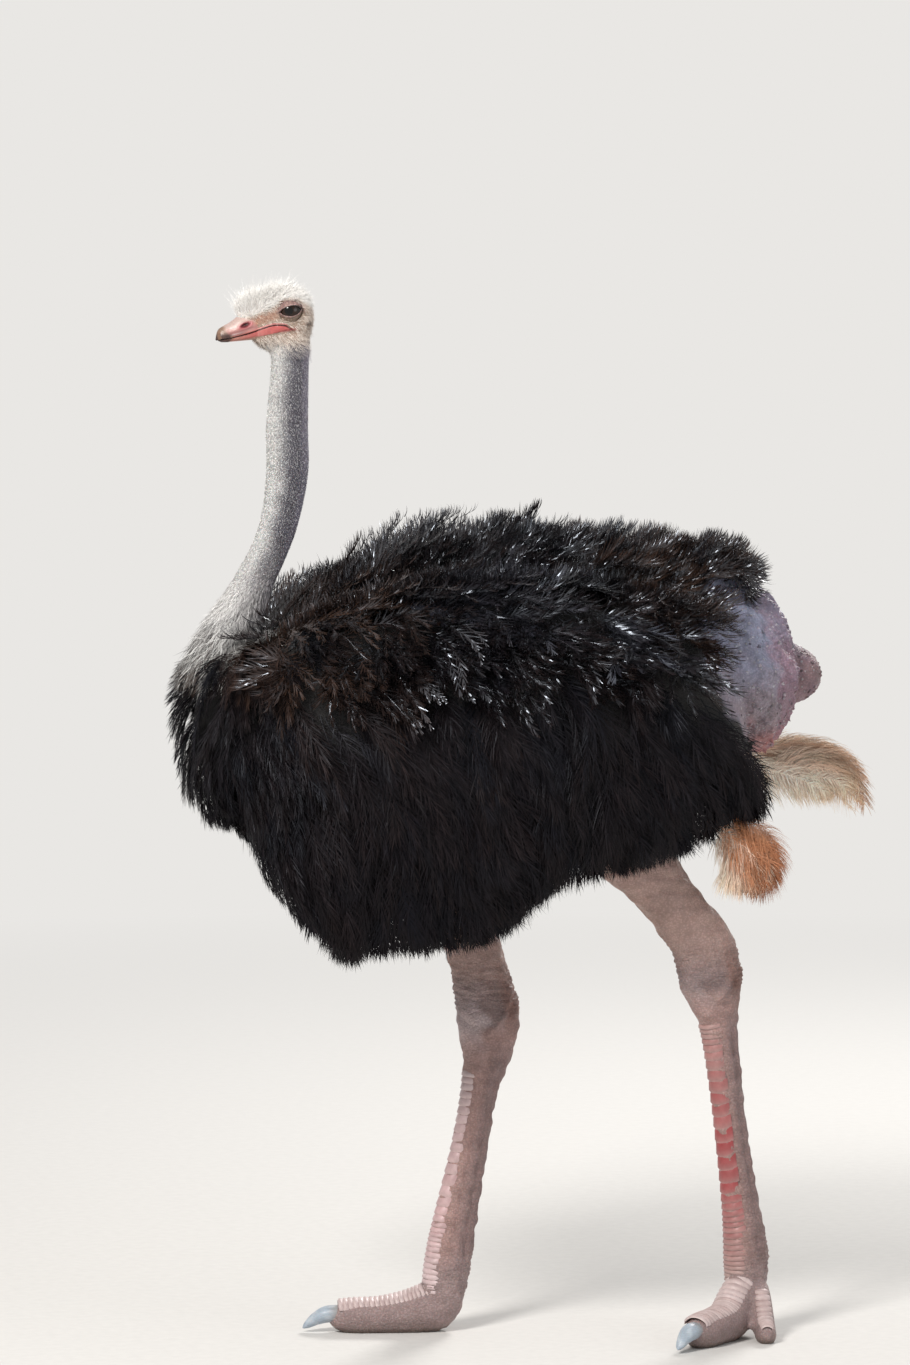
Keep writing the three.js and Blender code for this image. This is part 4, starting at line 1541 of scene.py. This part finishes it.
# The mouth's fleshy edges back from the bill: a broad strip, a dark line and a thin ridge. Each has its
# colour, how proud it stands, and a curve of places forward and up with its half height.
GAPE = {
    "red": (1.3, [[100, -11.4, 3.2], [84, -10.0, 4.6], [70, -8.8, 5.6], [56, -7.0, 6.2], [43, -5.2, 6.8],
                  [30, -5.2, 5.8], [21, -5.6, 4.0], [14, -6.6, 1.8]]),
    "gum": (1.7, [[106, -7.4, 0.7], [88, -5.2, 0.8], [69, -2.6, 0.9], [56, 0.2, 1.0], [43, 2.6, 1.0],
                  [30, 1.6, 1.0], [20, -0.8, 0.9], [13, -5.5, 0.7], [5, -12.5, 0.5]]),
    "ridge": (2.0, [[84, -2.6, 1.0], [69, -0.3, 1.4], [56, 2.5, 1.5], [43, 4.9, 1.5], [30, 4.0, 1.5],
                    [19, 1.6, 1.3], [12, -3.0, 0.9]]),
}


def along_curve(curve, forward):
    """Heights or widths read smoothly from a table of places along the bill."""
    curve = np.array(curve, float)
    t = np.interp(forward, curve[:, 0], np.linspace(0, 1, len(curve)))
    return spline(curve, np.atleast_1d(t))[..., 1]


def rounded(forward, start, length):
    """The size of a blunt tip: 1 before its start and 0 this far on."""
    return np.sqrt(1 - np.clip((forward - start) / length, 0, 1) ** 2)


def from_nostril(forward, height):
    """Distance from the nostril's middle, 1 at its rim."""
    return np.hypot((forward - 88) / 11, (height - 9.8 + (forward - 88) * 0.2) / 4.6)


def upper_half(forward, mouth, crest, wide, c, s):
    """Rings of the upper half: a rounded crest with its nail, a groove, the nostrils and a hollow palate."""
    tip = ease(forward, 132, 141.6)
    blunt = rounded(forward, 133, 8.8)
    hump = np.abs(s) ** 1.15 * (crest - mouth) * mix(1.0, blunt, 0.85)
    nail = 0.35 * ease(forward, 117, 121) * ease(hump, 2.5, 6)
    palate = mouth + 0.4 + 3.0 * np.abs(s) ** 0.8 * (1 - tip)
    height = np.where(s > 0, mouth + hump + nail * 0.8, palate) - tip * 2.2
    groove = bell(height - mouth, 6.5, 1.8) * ease(forward, 66, 80) * fall(forward, 112, 120)
    well = from_nostril(forward, height)
    nostril = (fall(well, 0.35, 1.0) * 5.0 - bell(well, 1.15, 0.3) * 1.1) * (s > 0)
    return height, np.abs(c) ** 0.82 * wide * blunt * (1 + nail / 26) - groove * 1.3 - nostril


def lower_half(forward, mouth, foot, wide, c, s):
    """Rings of the lower half: a rounded foot with its nail and a hollow floor."""
    blunt = rounded(forward, 130, 8.2)
    top = mouth - 0.7
    floor = top - 2.6 * np.abs(s) * fall(forward, 126, 138)
    depth = (top - foot) * np.abs(s) ** 0.9 * mix(1.0, blunt, 0.8)
    height = np.where(s > 0, floor, top - depth) - 0.6 * ease(forward, 118, 121) * (s < 0)
    return height, np.abs(c) ** 0.75 * wide * blunt


def bill_colours(points, upper):
    """Pink horn with a brown nail, dark along the mouth and in the nostrils, with painted shade deep in the
    nostrils.
    """
    f, h, _ = head_place(points)
    above = h - along_curve(MOUTH_LINE, f)
    well = from_nostril(f, h)
    waver = smooth_noise(points, 0.02, 61)
    if upper:
        tint = painted(
            coloured("bill", len(points)),
            ("culmen", ease(above, 12, 19)),
            ("bill's side", bell(above, 7.5, 3.5) * 0.7),
            ("bill's edge", fall(above, 1.5, 4.5) * 0.6),
            ("bill's shadow", 0.75 * bell(above, 3.5, 3.0) * ease(f, 80, 100)),
            ("nostril's rim", fall(well, 0.9, 1.7)),
            ("nostril", fall(well, 0.55, 1.0)),
            # Painted shade deep in the nostril's hole.
            ("shade deep in the nostril", fall(well, 0.3, 0.7) * fall(f, 84, 94)),
            ("mouth", fall(above, 0.4, 1.4)),
            ("lores", 0.75 * ease(above, 6, 12) * fall(f + 2 * waver, 64, 78)),
        )
    else:
        tint = painted(
            coloured("red", len(points)),
            ("jaw", ease(f, 66, 112)),
            ("jaw's foot", ease(-above, 8, 12)),
            ("mouth", fall(-above, 0.8, 1.8)),
        )
    nail = 0.92 * ease(f - 0.9 * np.clip(np.abs(above), 0, 14) + 1.5 * waver, 108, 116)
    worn = np.clip(0.5 * ease(waver, 0.1, 0.8) + 0.6 * ease(above, 5, 12), 0, 0.8)
    return mix(tint, painted(coloured("nail", len(points)), ("worn nail", worn)), nail[:, None])


def build_bill(part, material):
    """The upper or the lower half of the bill as one closed loft."""
    upper = part == "upper"
    start, end = (62, 141.6) if upper else (52, 138)
    form, edge, side = (upper_half, CULMEN, BILL_SIDE) if upper else (lower_half, JAW_FOOT, JAW_SIDE)
    forward = mix(start, end, np.sin(np.linspace(0, 1, 96) * math.pi / 2) ** 0.9)
    curves = [along_curve(curve, forward)[:, None] for curve in (MOUTH_LINE, edge, side)]
    forward = forward[:, None]
    c, s = np.cos(angles(88)), np.sin(angles(88))
    height, across = form(forward, *curves, c, s)
    points, faces = loft(head_frame(forward, height, np.sign(c) * across))
    return closed_object(f"bill_{part}_half", points, faces, material, bill_colours(points, upper))


def build_gape(name, read, material):
    """The fleshy edges of the mouth, each a thick rounded line on the skin."""
    side = SIDES[name]
    parts, tints = [], []
    for colour, (proud, curve) in GAPE.items():
        t = np.linspace(0, 1, 90)
        f, h, half = spline(curve, t).T
        way = unit(np.stack([np.gradient(f), np.gradient(h)], -1))
        size = np.sqrt(np.clip(1 - np.abs(2 * t - 1) ** 8, 0.002, 1))[:, None]
        c, s = np.cos(angles(24)), np.sin(angles(24))
        forward = f[:, None] - way[:, 1:] * c * half[:, None] * size
        height = h[:, None] + way[:, :1] * c * half[:, None] * size
        out = read(forward, height, side)
        out = (np.roll(out, 1, 1) + out + np.roll(out, -1, 1)) / 3
        out[1:-1] = (out[:-2] + out[1:-1] + out[2:]) / 3
        points, faces = loft(head_frame(forward, height, side * (out + s * proud * size)))
        parts.append((points, outward_faces(points, faces)))
        front = ease(head_place(points)[0] + 4 * smooth_noise(points, 0.02, 64), 40, 96) * (colour != "gum")
        tints.append(painted(coloured(colour, len(points)), ("gape's front", 0.7 * front)))
    return mesh_object(f"gape_{name}", *joined(parts), material, np.concatenate(tints))


# ---- Legs: scutes and claws ----
ROWS, COLUMNS = 5, 11  # points of one scale
SHANK_ROWS, SHANK_ENDS = 34, (0.545, 0.985)  # scales down a shank, and where they begin and end along the leg
# For each leg: the seed, the colours of the end scales and of the middle ones, and half their angle round it.
SCUTES = {"left": (71, "ab908b", "9c4a4b", 1.38), "right": (72, "d2bebf", "c3a2a3", 1.12)}
# For big and outer toe: the number of scales, half their angle, and where they begin and end along the toe.
TOE_SCUTES = ((20, 1.0, 0.12, 0.90), (15, 0.9, 0.2, 0.90))


def plate(tube, start, end, half_angle, proud, middle=0.0):
    """One overlapping scale on a tube: flush with the skin at its upper edge, raised at its lower edge."""
    u = np.linspace(0, 1, ROWS)[:, None]
    v = np.linspace(-1, 1, COLUMNS)[None]
    t = mix(start, end, u - 0.22 * v**2 * u)
    rise = np.interp(u, [0, 0.15, 0.85, 1], [-0.8, 0.35, 1.0, -0.5]) * (1 - 0.9 * v**6) - 1.1 * v**10
    points = tube.surface(t, middle + v * half_angle + 0 * u, rise * proud)
    return points.reshape(-1, 3), grid_faces(ROWS, COLUMNS, closed=False)


def worn_edge(tone):
    """A scale's colour at each of its points, paler toward its lower edge."""
    pale = np.repeat(np.linspace(0, 1, ROWS) ** 3, COLUMNS)
    return painted(np.tile(tone, (ROWS * COLUMNS, 1)), ("worn edge", 0.4 * pale))


def build_scutes(name, material):
    """The broad scales down the front of the shank and over the toes."""
    seed, pale, warm, half = SCUTES[name]
    source = np.random.default_rng(seed)
    parts, tints = [], []
    edges = mix(*SHANK_ENDS, np.linspace(0, 1, SHANK_ROWS + 1))
    for k in range(SHANK_ROWS):
        wide = half * (1 + 0.05 * source.uniform(-1, 1))
        parts.append(plate(LEG_TUBES[name], edges[k], edges[k + 1] + 0.005, wide, 0.0034, 0.05 * SIDES[name]))
        tone = mix(srgb(pale), srgb(warm), bell(k / SHANK_ROWS, 0.42, 0.34) + source.uniform(-0.12, 0.12))
        tints.append(worn_edge(tone * source.uniform(0.93, 1.07)))
    for tube, (rows, half, first, last) in zip(TOE_TUBES[name], TOE_SCUTES):
        edges = mix(first, last, np.linspace(0, 1, rows + 1))
        for k in range(rows):
            parts.append(plate(tube, edges[k], edges[k + 1] + 0.012, half, 0.003))
            tints.append(worn_edge(mix(COLOURS["toe scute"], COLOURS["dull toe scute"], source.random())))
    return mesh_object(f"scutes_{name}", *joined(parts), material, np.concatenate(tints))


def build_claw(name, material):
    """The big toe's blunt pale claw."""
    points, faces = toe_tube(FEET[name], CLAW).closed(40, 36, round_end=0.16)
    points[:, 2] = np.maximum(points[:, 2], 0.0055)
    joint = to_frame(np.array(FEET[name]["joint"]))
    ahead = np.hypot(*(points - joint).T[:2])
    tint = painted(
        coloured("claw's root", len(points)),
        ("claw", ease(ahead, 0.19, 0.22)),
        ("claw's sheen", 0.4 * ease(smooth_noise(points, 0.03, 73), 0.0, 0.9)),
    )
    return closed_object(f"horn_claw_{name}", points, faces, material, tint)


# ---- Follicles on the rump, and down on the neck and the head ----
# How many there are to the square metre.
FOLLICLES = 3_600
NECK_DOWN, NECK_FOOT_DOWN = 190_000, 110_000
FACE_FUZZ, CROWN_DOWN = 260_000, 800_000


def scatter_on(obj, density, source):
    """Places and normals spread over an object, density(points) to a square metre."""
    obj.data.calc_loop_triangles()
    corners = np.empty(len(obj.data.loop_triangles) * 3, np.int32)
    obj.data.loop_triangles.foreach_get("vertices", corners)
    corners = corners.reshape(-1, 3)
    points, normals = points_of(obj), normals_of(obj)
    a, b, c = (points[corners[:, k]] for k in range(3))
    area = np.linalg.norm(np.cross(b - a, c - a), axis=1) / 2
    wanted = area * density((a + b + c) / 3)
    count = np.floor(wanted + source.random(len(wanted))).astype(int)
    corners = corners[np.repeat(np.arange(len(corners)), count)]
    u, v = source.random((2, len(corners)))
    flip = u + v > 1
    u, v = np.where(flip, 1 - u, u)[:, None], np.where(flip, 1 - v, v)[:, None]
    weights = np.concatenate([1 - u - v, u, v], 1)[..., None]
    return (points[corners] * weights).sum(1), unit((normals[corners] * weights).sum(1))


def build_follicles(skin, material):
    """Small raised follicles of the bare rump, some with a dark stub of a quill."""
    source = np.random.default_rng(66)

    def density(points):
        return FOLLICLES * (bare_rump(points) > 0.9) * (points[:, 2] > 1.0) * (np.abs(points[:, 1]) < 0.2)

    roots, normals = scatter_on(skin, density, source)
    size = source.uniform(0.0014, 0.0034, len(roots))[:, None, None]
    tall = source.uniform(0.0006, 0.0017, len(roots))[:, None, None]
    lean = unit(np.cross(normals, UP + source.normal(0, 0.2, normals.shape)))
    turn = angles(7)[..., None]
    ring = lean[:, None] * np.cos(turn) + np.cross(normals, lean)[:, None] * np.sin(turn)
    rings = [
        roots[:, None] + ring * size * radius + normals[:, None] * tall * height
        for radius, height in ((1.25, -0.3), (0.85, 0.45), (0.4, 0.95))
    ]
    parts = [loft(bump) for bump in np.stack(rings, 1)]
    dark = source.random(len(roots)) < 0.13 + 0.4 * ease(roots[:, 0], MIDDLE + 0.55, MIDDLE + 0.57)
    colour = markings(roots)
    colour = np.where(dark[:, None], colour * 0.5, mix(colour, COLOURS["follicle"], 0.45))
    tint = np.repeat(colour, len(parts[0][0]), 0)
    return mesh_object("rump_follicles", *joined(parts), material, tint)


def tufts(strips, roots, normals, way, length, width, tint, source, lift, segments=2, curl=0.0):
    """Adds fine tapering strips that lean along way."""
    length = length * source.uniform(0.7, 1.2, len(roots))
    lift = lift * source.uniform(0.6, 1.4, len(roots))
    way = level(way + source.normal(0, 0.28, way.shape), normals)
    line = [roots - normals * 0.0006]
    for k in range(segments):
        rise = (lift - curl * (k / segments))[:, None]
        line.append(line[-1] + (way * np.cos(rise) + normals * np.sin(rise)) * (length / segments)[:, None])
    line = np.stack(line, 1)
    across = unit(np.cross(way, normals) + source.normal(0, 0.35, way.shape))
    across = np.broadcast_to(across[:, None], line.shape)
    wide = width[:, None] * np.linspace(1, 0.5, segments + 1)[None]
    colour = np.broadcast_to(tint[:, None], line.shape) * source.uniform(0.85, 1.12, (len(line), 1, 1))
    around = np.arctan2(roots[:, 1], -(roots[:, 0] - MIDDLE + 0.39)) / CIRCLE
    place = np.stack([0.80 + 0.3 * around, 0.32 + 0.62 * (roots[:, 2] - 1.26) / 0.67], -1)
    strips.add(line, across, wide, colour, place, np.zeros(len(line)))


def build_neck_down(skin, material):
    """Short sparse white down over the neck's skin, with longer wisps where the neck meets the plumage."""
    source = np.random.default_rng(81)
    centre = NECK_TUBE.axes(np.linspace(0, 1, 120))[0]

    def density(points):
        z = points[:, 2]
        close = np.linalg.norm(points - centre[level_with(points, centre)], axis=1) < 0.085
        return mix(NECK_DOWN, NECK_FOOT_DOWN, fall(z, 1.28, 1.36)) * (z > 1.222) * (z < 1.80) * close

    roots, normals = scatter_on(skin, density, source)
    x, y, z = roots.T
    near = level_with(roots, centre)
    way = unit(np.gradient(centre, axis=0))[near]
    foot = fall(z, 1.27, 1.40)
    pale = mix(source.uniform(0.0, 0.85, len(roots)), source.random(len(roots)), foot)
    # The down is paler toward the front, partly as painted light on the neck's front edge.
    ahead = ease((centre[near] - roots)[:, 0], -0.005, 0.03)
    pale = pale * mix(mix(0.5, 1.0, ahead), 1.0, foot)
    along = np.stack([x - 0.32 * z, y, 0.25 * z], 1)
    streaks = ease(smooth_noise(along, 0.015, 82) + source.normal(0, 0.15, len(roots)), 0.0, 0.3)
    low = fall(z + 0.02 * smooth_noise(roots, 0.04, 83), 1.23, 1.32)
    tint = painted(markings(roots), ("neck down", pale), ("brown plumage", streaks * low * 0.9))
    strips = Coat()
    tufts(strips, roots, normals, way, mix(0.005, 0.055, foot), mix(0.0011, 0.0012, foot), tint, source,
          lift=mix(0.3, 0.35, foot), segments=3, curl=mix(0.1, 0.45, foot))
    return strips.piece("down_neck", material)


def build_head_down(skin, material):
    """Spiky pale down on the crown, short brownish fuzz on the face, bristles over the ears."""
    source = np.random.default_rng(91)

    def density(points):
        forward, height, side = head_place(points)
        e1, e2 = eye_plane(forward, height)
        beside = np.abs(side) > 12
        orbit = beside & (np.hypot(e1 / 25, e2 / 17) < 1)
        mouth = beside & (forward > 2) & (height > -13) & (height < along_curve(MOUTH_LINE, forward) + 5)
        bill = (forward > 58) & (height < 10 + (forward - 64) * 0.52) & (height > -15)
        on_head = ease(points[:, 2], 1.775, 1.80) * (points[:, 0] < -0.3) * ~(orbit | mouth | bill)
        return on_head * mix(FACE_FUZZ, CROWN_DOWN, ease(height - fuzz_line(forward), -4, 4))

    roots, normals = scatter_on(skin, density, source)
    count = len(roots)
    forward, height, _ = head_place(roots)
    above = height - fuzz_line(forward) + 2 * smooth_noise(roots, 0.02, 92)
    crown = ease(above, -3, 5)
    full = ease(above, 0, 22)
    back = unit(mix(BACKWARD + UP * 0.25, UP - BACKWARD * 0.2, ease(forward, 35, 85)[:, None]))
    way = mix(unit(BACKWARD * 0.7 - UP * 0.7), back, crown[:, None])
    length = mix(0.008, 0.009, crown) + (0.010 + 0.005 * ease(forward, 35, 70)) * full
    length = length + 0.004 * fall(height, -30, -8)
    long = (source.random(count) < 0.07) * crown * full
    length = length * source.uniform(0.7, 1.3, count) * (1 + 0.7 * long)
    tint = markings(roots) * source.uniform(0.7, 1.2, (count, 1))
    white = crown * source.uniform(0.5, 1.0, count)
    streak = bell(height, 20 - (forward - 50) * 0.3, 8) * ease(forward, 20, 34)
    pale = (1 - crown) * (1 - 0.8 * streak) * source.uniform(0.2, 1.0, count) * ease(roots[:, 2], 1.775, 1.81)
    ear = bell(forward, -24, 5) * bell(height, -4, 5)
    tint = painted(tint, ("crown down", white), ("face down", pale), ("ear bristles", ear * 0.85))
    strips = Coat()
    lift = mix(0.4, 0.6, crown) + 0.6 * full
    tufts(strips, roots, normals, way, length, mix(0.0007, 0.0006, crown), tint, source, lift, curl=0.3)
    for side in SIDES.values():
        build_lashes(side, strips, source)
    return strips.piece("down_head", material)


# ---- Camera, lights and floor ----
FRAME_HEIGHT = 2.457  # metres seen from top to bottom at the bird
DISTANCE = 18.0
VIEW = (math.radians(-14), math.radians(6))  # the camera's azimuth and elevation
MOVED = (-0.072, 0.239)  # how far to the right of the bird's middle, and above it, the camera aims
SENSOR = 36.0
# Each lamp's place, size, power and colour.
LAMPS = {
    "key": ((-3.2, -3.4, 4.6), 1.6, 330, (1.0, 0.97, 0.93)),
    "fill": ((4.5, -4.0, 2.2), 3.5, 60, (0.93, 0.96, 1.0)),
    "rim": ((2.8, 4.0, 3.8), 1.6, 240, (1.0, 0.98, 0.95)),
}
AMBIENT = 0.42


def add_object(name, data, place, target=None):
    """An object in the scene, looking at its target."""
    obj = bpy.data.objects.new(name, data)
    obj.location = place
    if target is not None:
        obj.rotation_euler = (obj.location - Vector(target)).to_track_quat("Z", "Y").to_euler()
    bpy.context.scene.collection.objects.link(obj)
    return obj


def build_camera():
    """The photograph's view: from the bird's left and a little ahead and above, far off with a long lens."""
    azimuth, elevation = VIEW
    level_back = np.array([math.sin(azimuth), -math.cos(azimuth), 0])
    back = level_back * math.cos(elevation) + UP * math.sin(elevation)
    right = np.array([math.cos(azimuth), math.sin(azimuth), 0])
    target = np.array([MIDDLE, 0, 0.95]) + right * MOVED[0] + np.cross(back, right) * MOVED[1]
    data = bpy.data.cameras.new("camera")
    data.sensor_width = SENSOR
    data.lens = SENSOR * DISTANCE / FRAME_HEIGHT
    data.clip_end = 200
    bpy.context.scene.camera = add_object("camera", data, target + back * DISTANCE, target)


def background_rays(nodes, links):
    """1 for rays that show the background: from the camera, or on from a mirror or glass."""
    rays = nodes.new("ShaderNodeLightPath")
    total = rays.outputs["Is Camera Ray"]
    for kind in ("Is Glossy Ray", "Is Transmission Ray"):
        both = nodes.new("ShaderNodeMath")
        both.operation = "MAXIMUM"
        links.new(total, both.inputs[0])
        links.new(rays.outputs[kind], both.inputs[1])
        total = both.outputs[0]
    return total


def build_world(pale):
    """Even white light from all round, behind which the camera sees the pale background."""
    world = bpy.data.worlds.new("studio")
    bpy.context.scene.world = world
    world.use_nodes = True
    nodes, links = world.node_tree.nodes, world.node_tree.links
    ambient = nodes["Background"]
    ambient.inputs["Color"].default_value = (1, 1, 1, 1)
    ambient.inputs["Strength"].default_value = AMBIENT
    seen = nodes.new("ShaderNodeBackground")
    seen.inputs["Color"].default_value = (*pale, 1)
    choose = nodes.new("ShaderNodeMixShader")
    links.new(background_rays(nodes, links), choose.inputs[0])
    links.new(ambient.outputs[0], choose.inputs[1])
    links.new(seen.outputs[0], choose.inputs[2])
    links.new(choose.outputs[0], nodes["World Output"].inputs["Surface"])


def floor_material(pale):
    """A pale floor that fades into the background's colour farther off."""
    ground = Shader("floor", {"Specular IOR Level": 0.1})
    blotches = ground.scaled(ground.noise(0.02, 3), 0.3, 0.7)
    tone = ground.node("Mix", {0: blotches, 6: pale * 0.80, 7: pale * 0.84}, data_type="RGBA").outputs[2]
    ground.finish(tone, 0.9)
    far = ground.node("VectorMath", {0: ground.place}, operation="LENGTH").outputs["Value"]
    glow = ground.node("Emission", {"Color": pale, "Strength": 1.0}).outputs[0]
    share = ground.math("MULTIPLY", ground.scaled(far, 1.2, 6.0), background_rays(ground.nodes, ground.links))
    mixed = ground.node("MixShader", {0: share, 1: ground.surface.outputs[0], 2: glow}).outputs[0]
    ground.feed(ground.nodes["Material Output"].inputs["Surface"], mixed)
    return ground.material


def build_stage():
    """A pale floor in a pale studio, and soft light with a warm key."""
    for name, (place, size, power, colour) in LAMPS.items():
        data = bpy.data.lights.new(name, "AREA")
        data.shape = "DISK"
        data.size = size
        data.energy = power
        data.color = colour
        add_object(name, data, place, (0, 0, 1.0))
    pale = COLOURS["background"]
    build_world(pale)
    disc = bmesh.new()
    bmesh.ops.create_circle(disc, cap_ends=True, segments=96, radius=60)
    mesh = bpy.data.meshes.new("floor")
    disc.to_mesh(mesh)
    disc.free()
    mesh.materials.append(floor_material(pale))
    floor = add_object("floor", mesh, (0, 0, 0))


# ---- Putting it together ----
FLESH = ["head", "neck_upper", "neck_middle", "neck_lower", "breast", "trunk", "rump", "tail"]
FLESH += [f"{part}_{name}" for part in ("wing", "thigh", "shank", "big_toe", "outer_toe") for name in SIDES]


def build_bird():
    """Every piece, attached to the body it rides on, with the CAD nodes it stands for hidden. The slot listed
    with each piece is not used.
    """
    coat = Envelope(["trunk", "breast", "wing_left", "wing_right"])
    horn = horn_material("bill")
    claw_horn = horn_material("claw")
    wet = eye_material()
    scutes = scute_material()
    vanes = {
        "matt": vane_material("plumage", {"Specular IOR Level": 0.14, "Specular Tint": BLUISH}, 0.012, 0.42),
        "glossy": vane_material(
            "plumage_gloss", {"Specular IOR Level": 1.0, "Specular Tint": BLUISH}, 0.012, 0.22
        ),
    }
    plumes = vane_material("plumes", {"Specular IOR Level": 0.3}, 0.01, 0.45, 0.82)
    down = vane_material("down", {"Specular IOR Level": 0.3}, 0.008, 0.5, 0.9)
    hide = skin_material()

    skin = build_skin(coat, hide)
    read = flank_reader(skin)
    made = [(skin, "skin", FLESH), (build_follicles(skin, hide), "skin", [])]
    made += [(piece, "plumage", []) for piece in build_plumage(coat, vanes)]
    made.append((build_neck_down(skin, down), "down", []))
    made.append((build_head_down(skin, down), "down", []))
    made += [(build_bill(part, horn), "bill", [f"bill_{part}"]) for part in ("upper", "lower")]
    for name in SIDES:
        made += [
            (build_plumes(name, plumes), "plumes", [f"wing_plumes_{name}"]),
            (build_eye(name, wet), "eye", [f"eye_{name}"]),
            (build_lids(name, read, hide), "skin", []),
            (build_gape(name, read, horn), "bill", []),
            (build_scutes(name, scutes), "scutes", []),
            (build_claw(name, claw_horn), "claw", [f"claw_{name}"]),
        ]
    for piece, slot, nodes in made:
        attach(piece, "root")
        if nodes:
            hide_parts(*nodes)


bpy.context.scene.view_settings.view_transform = "Standard"
build_camera()
build_stage()
build_bird()
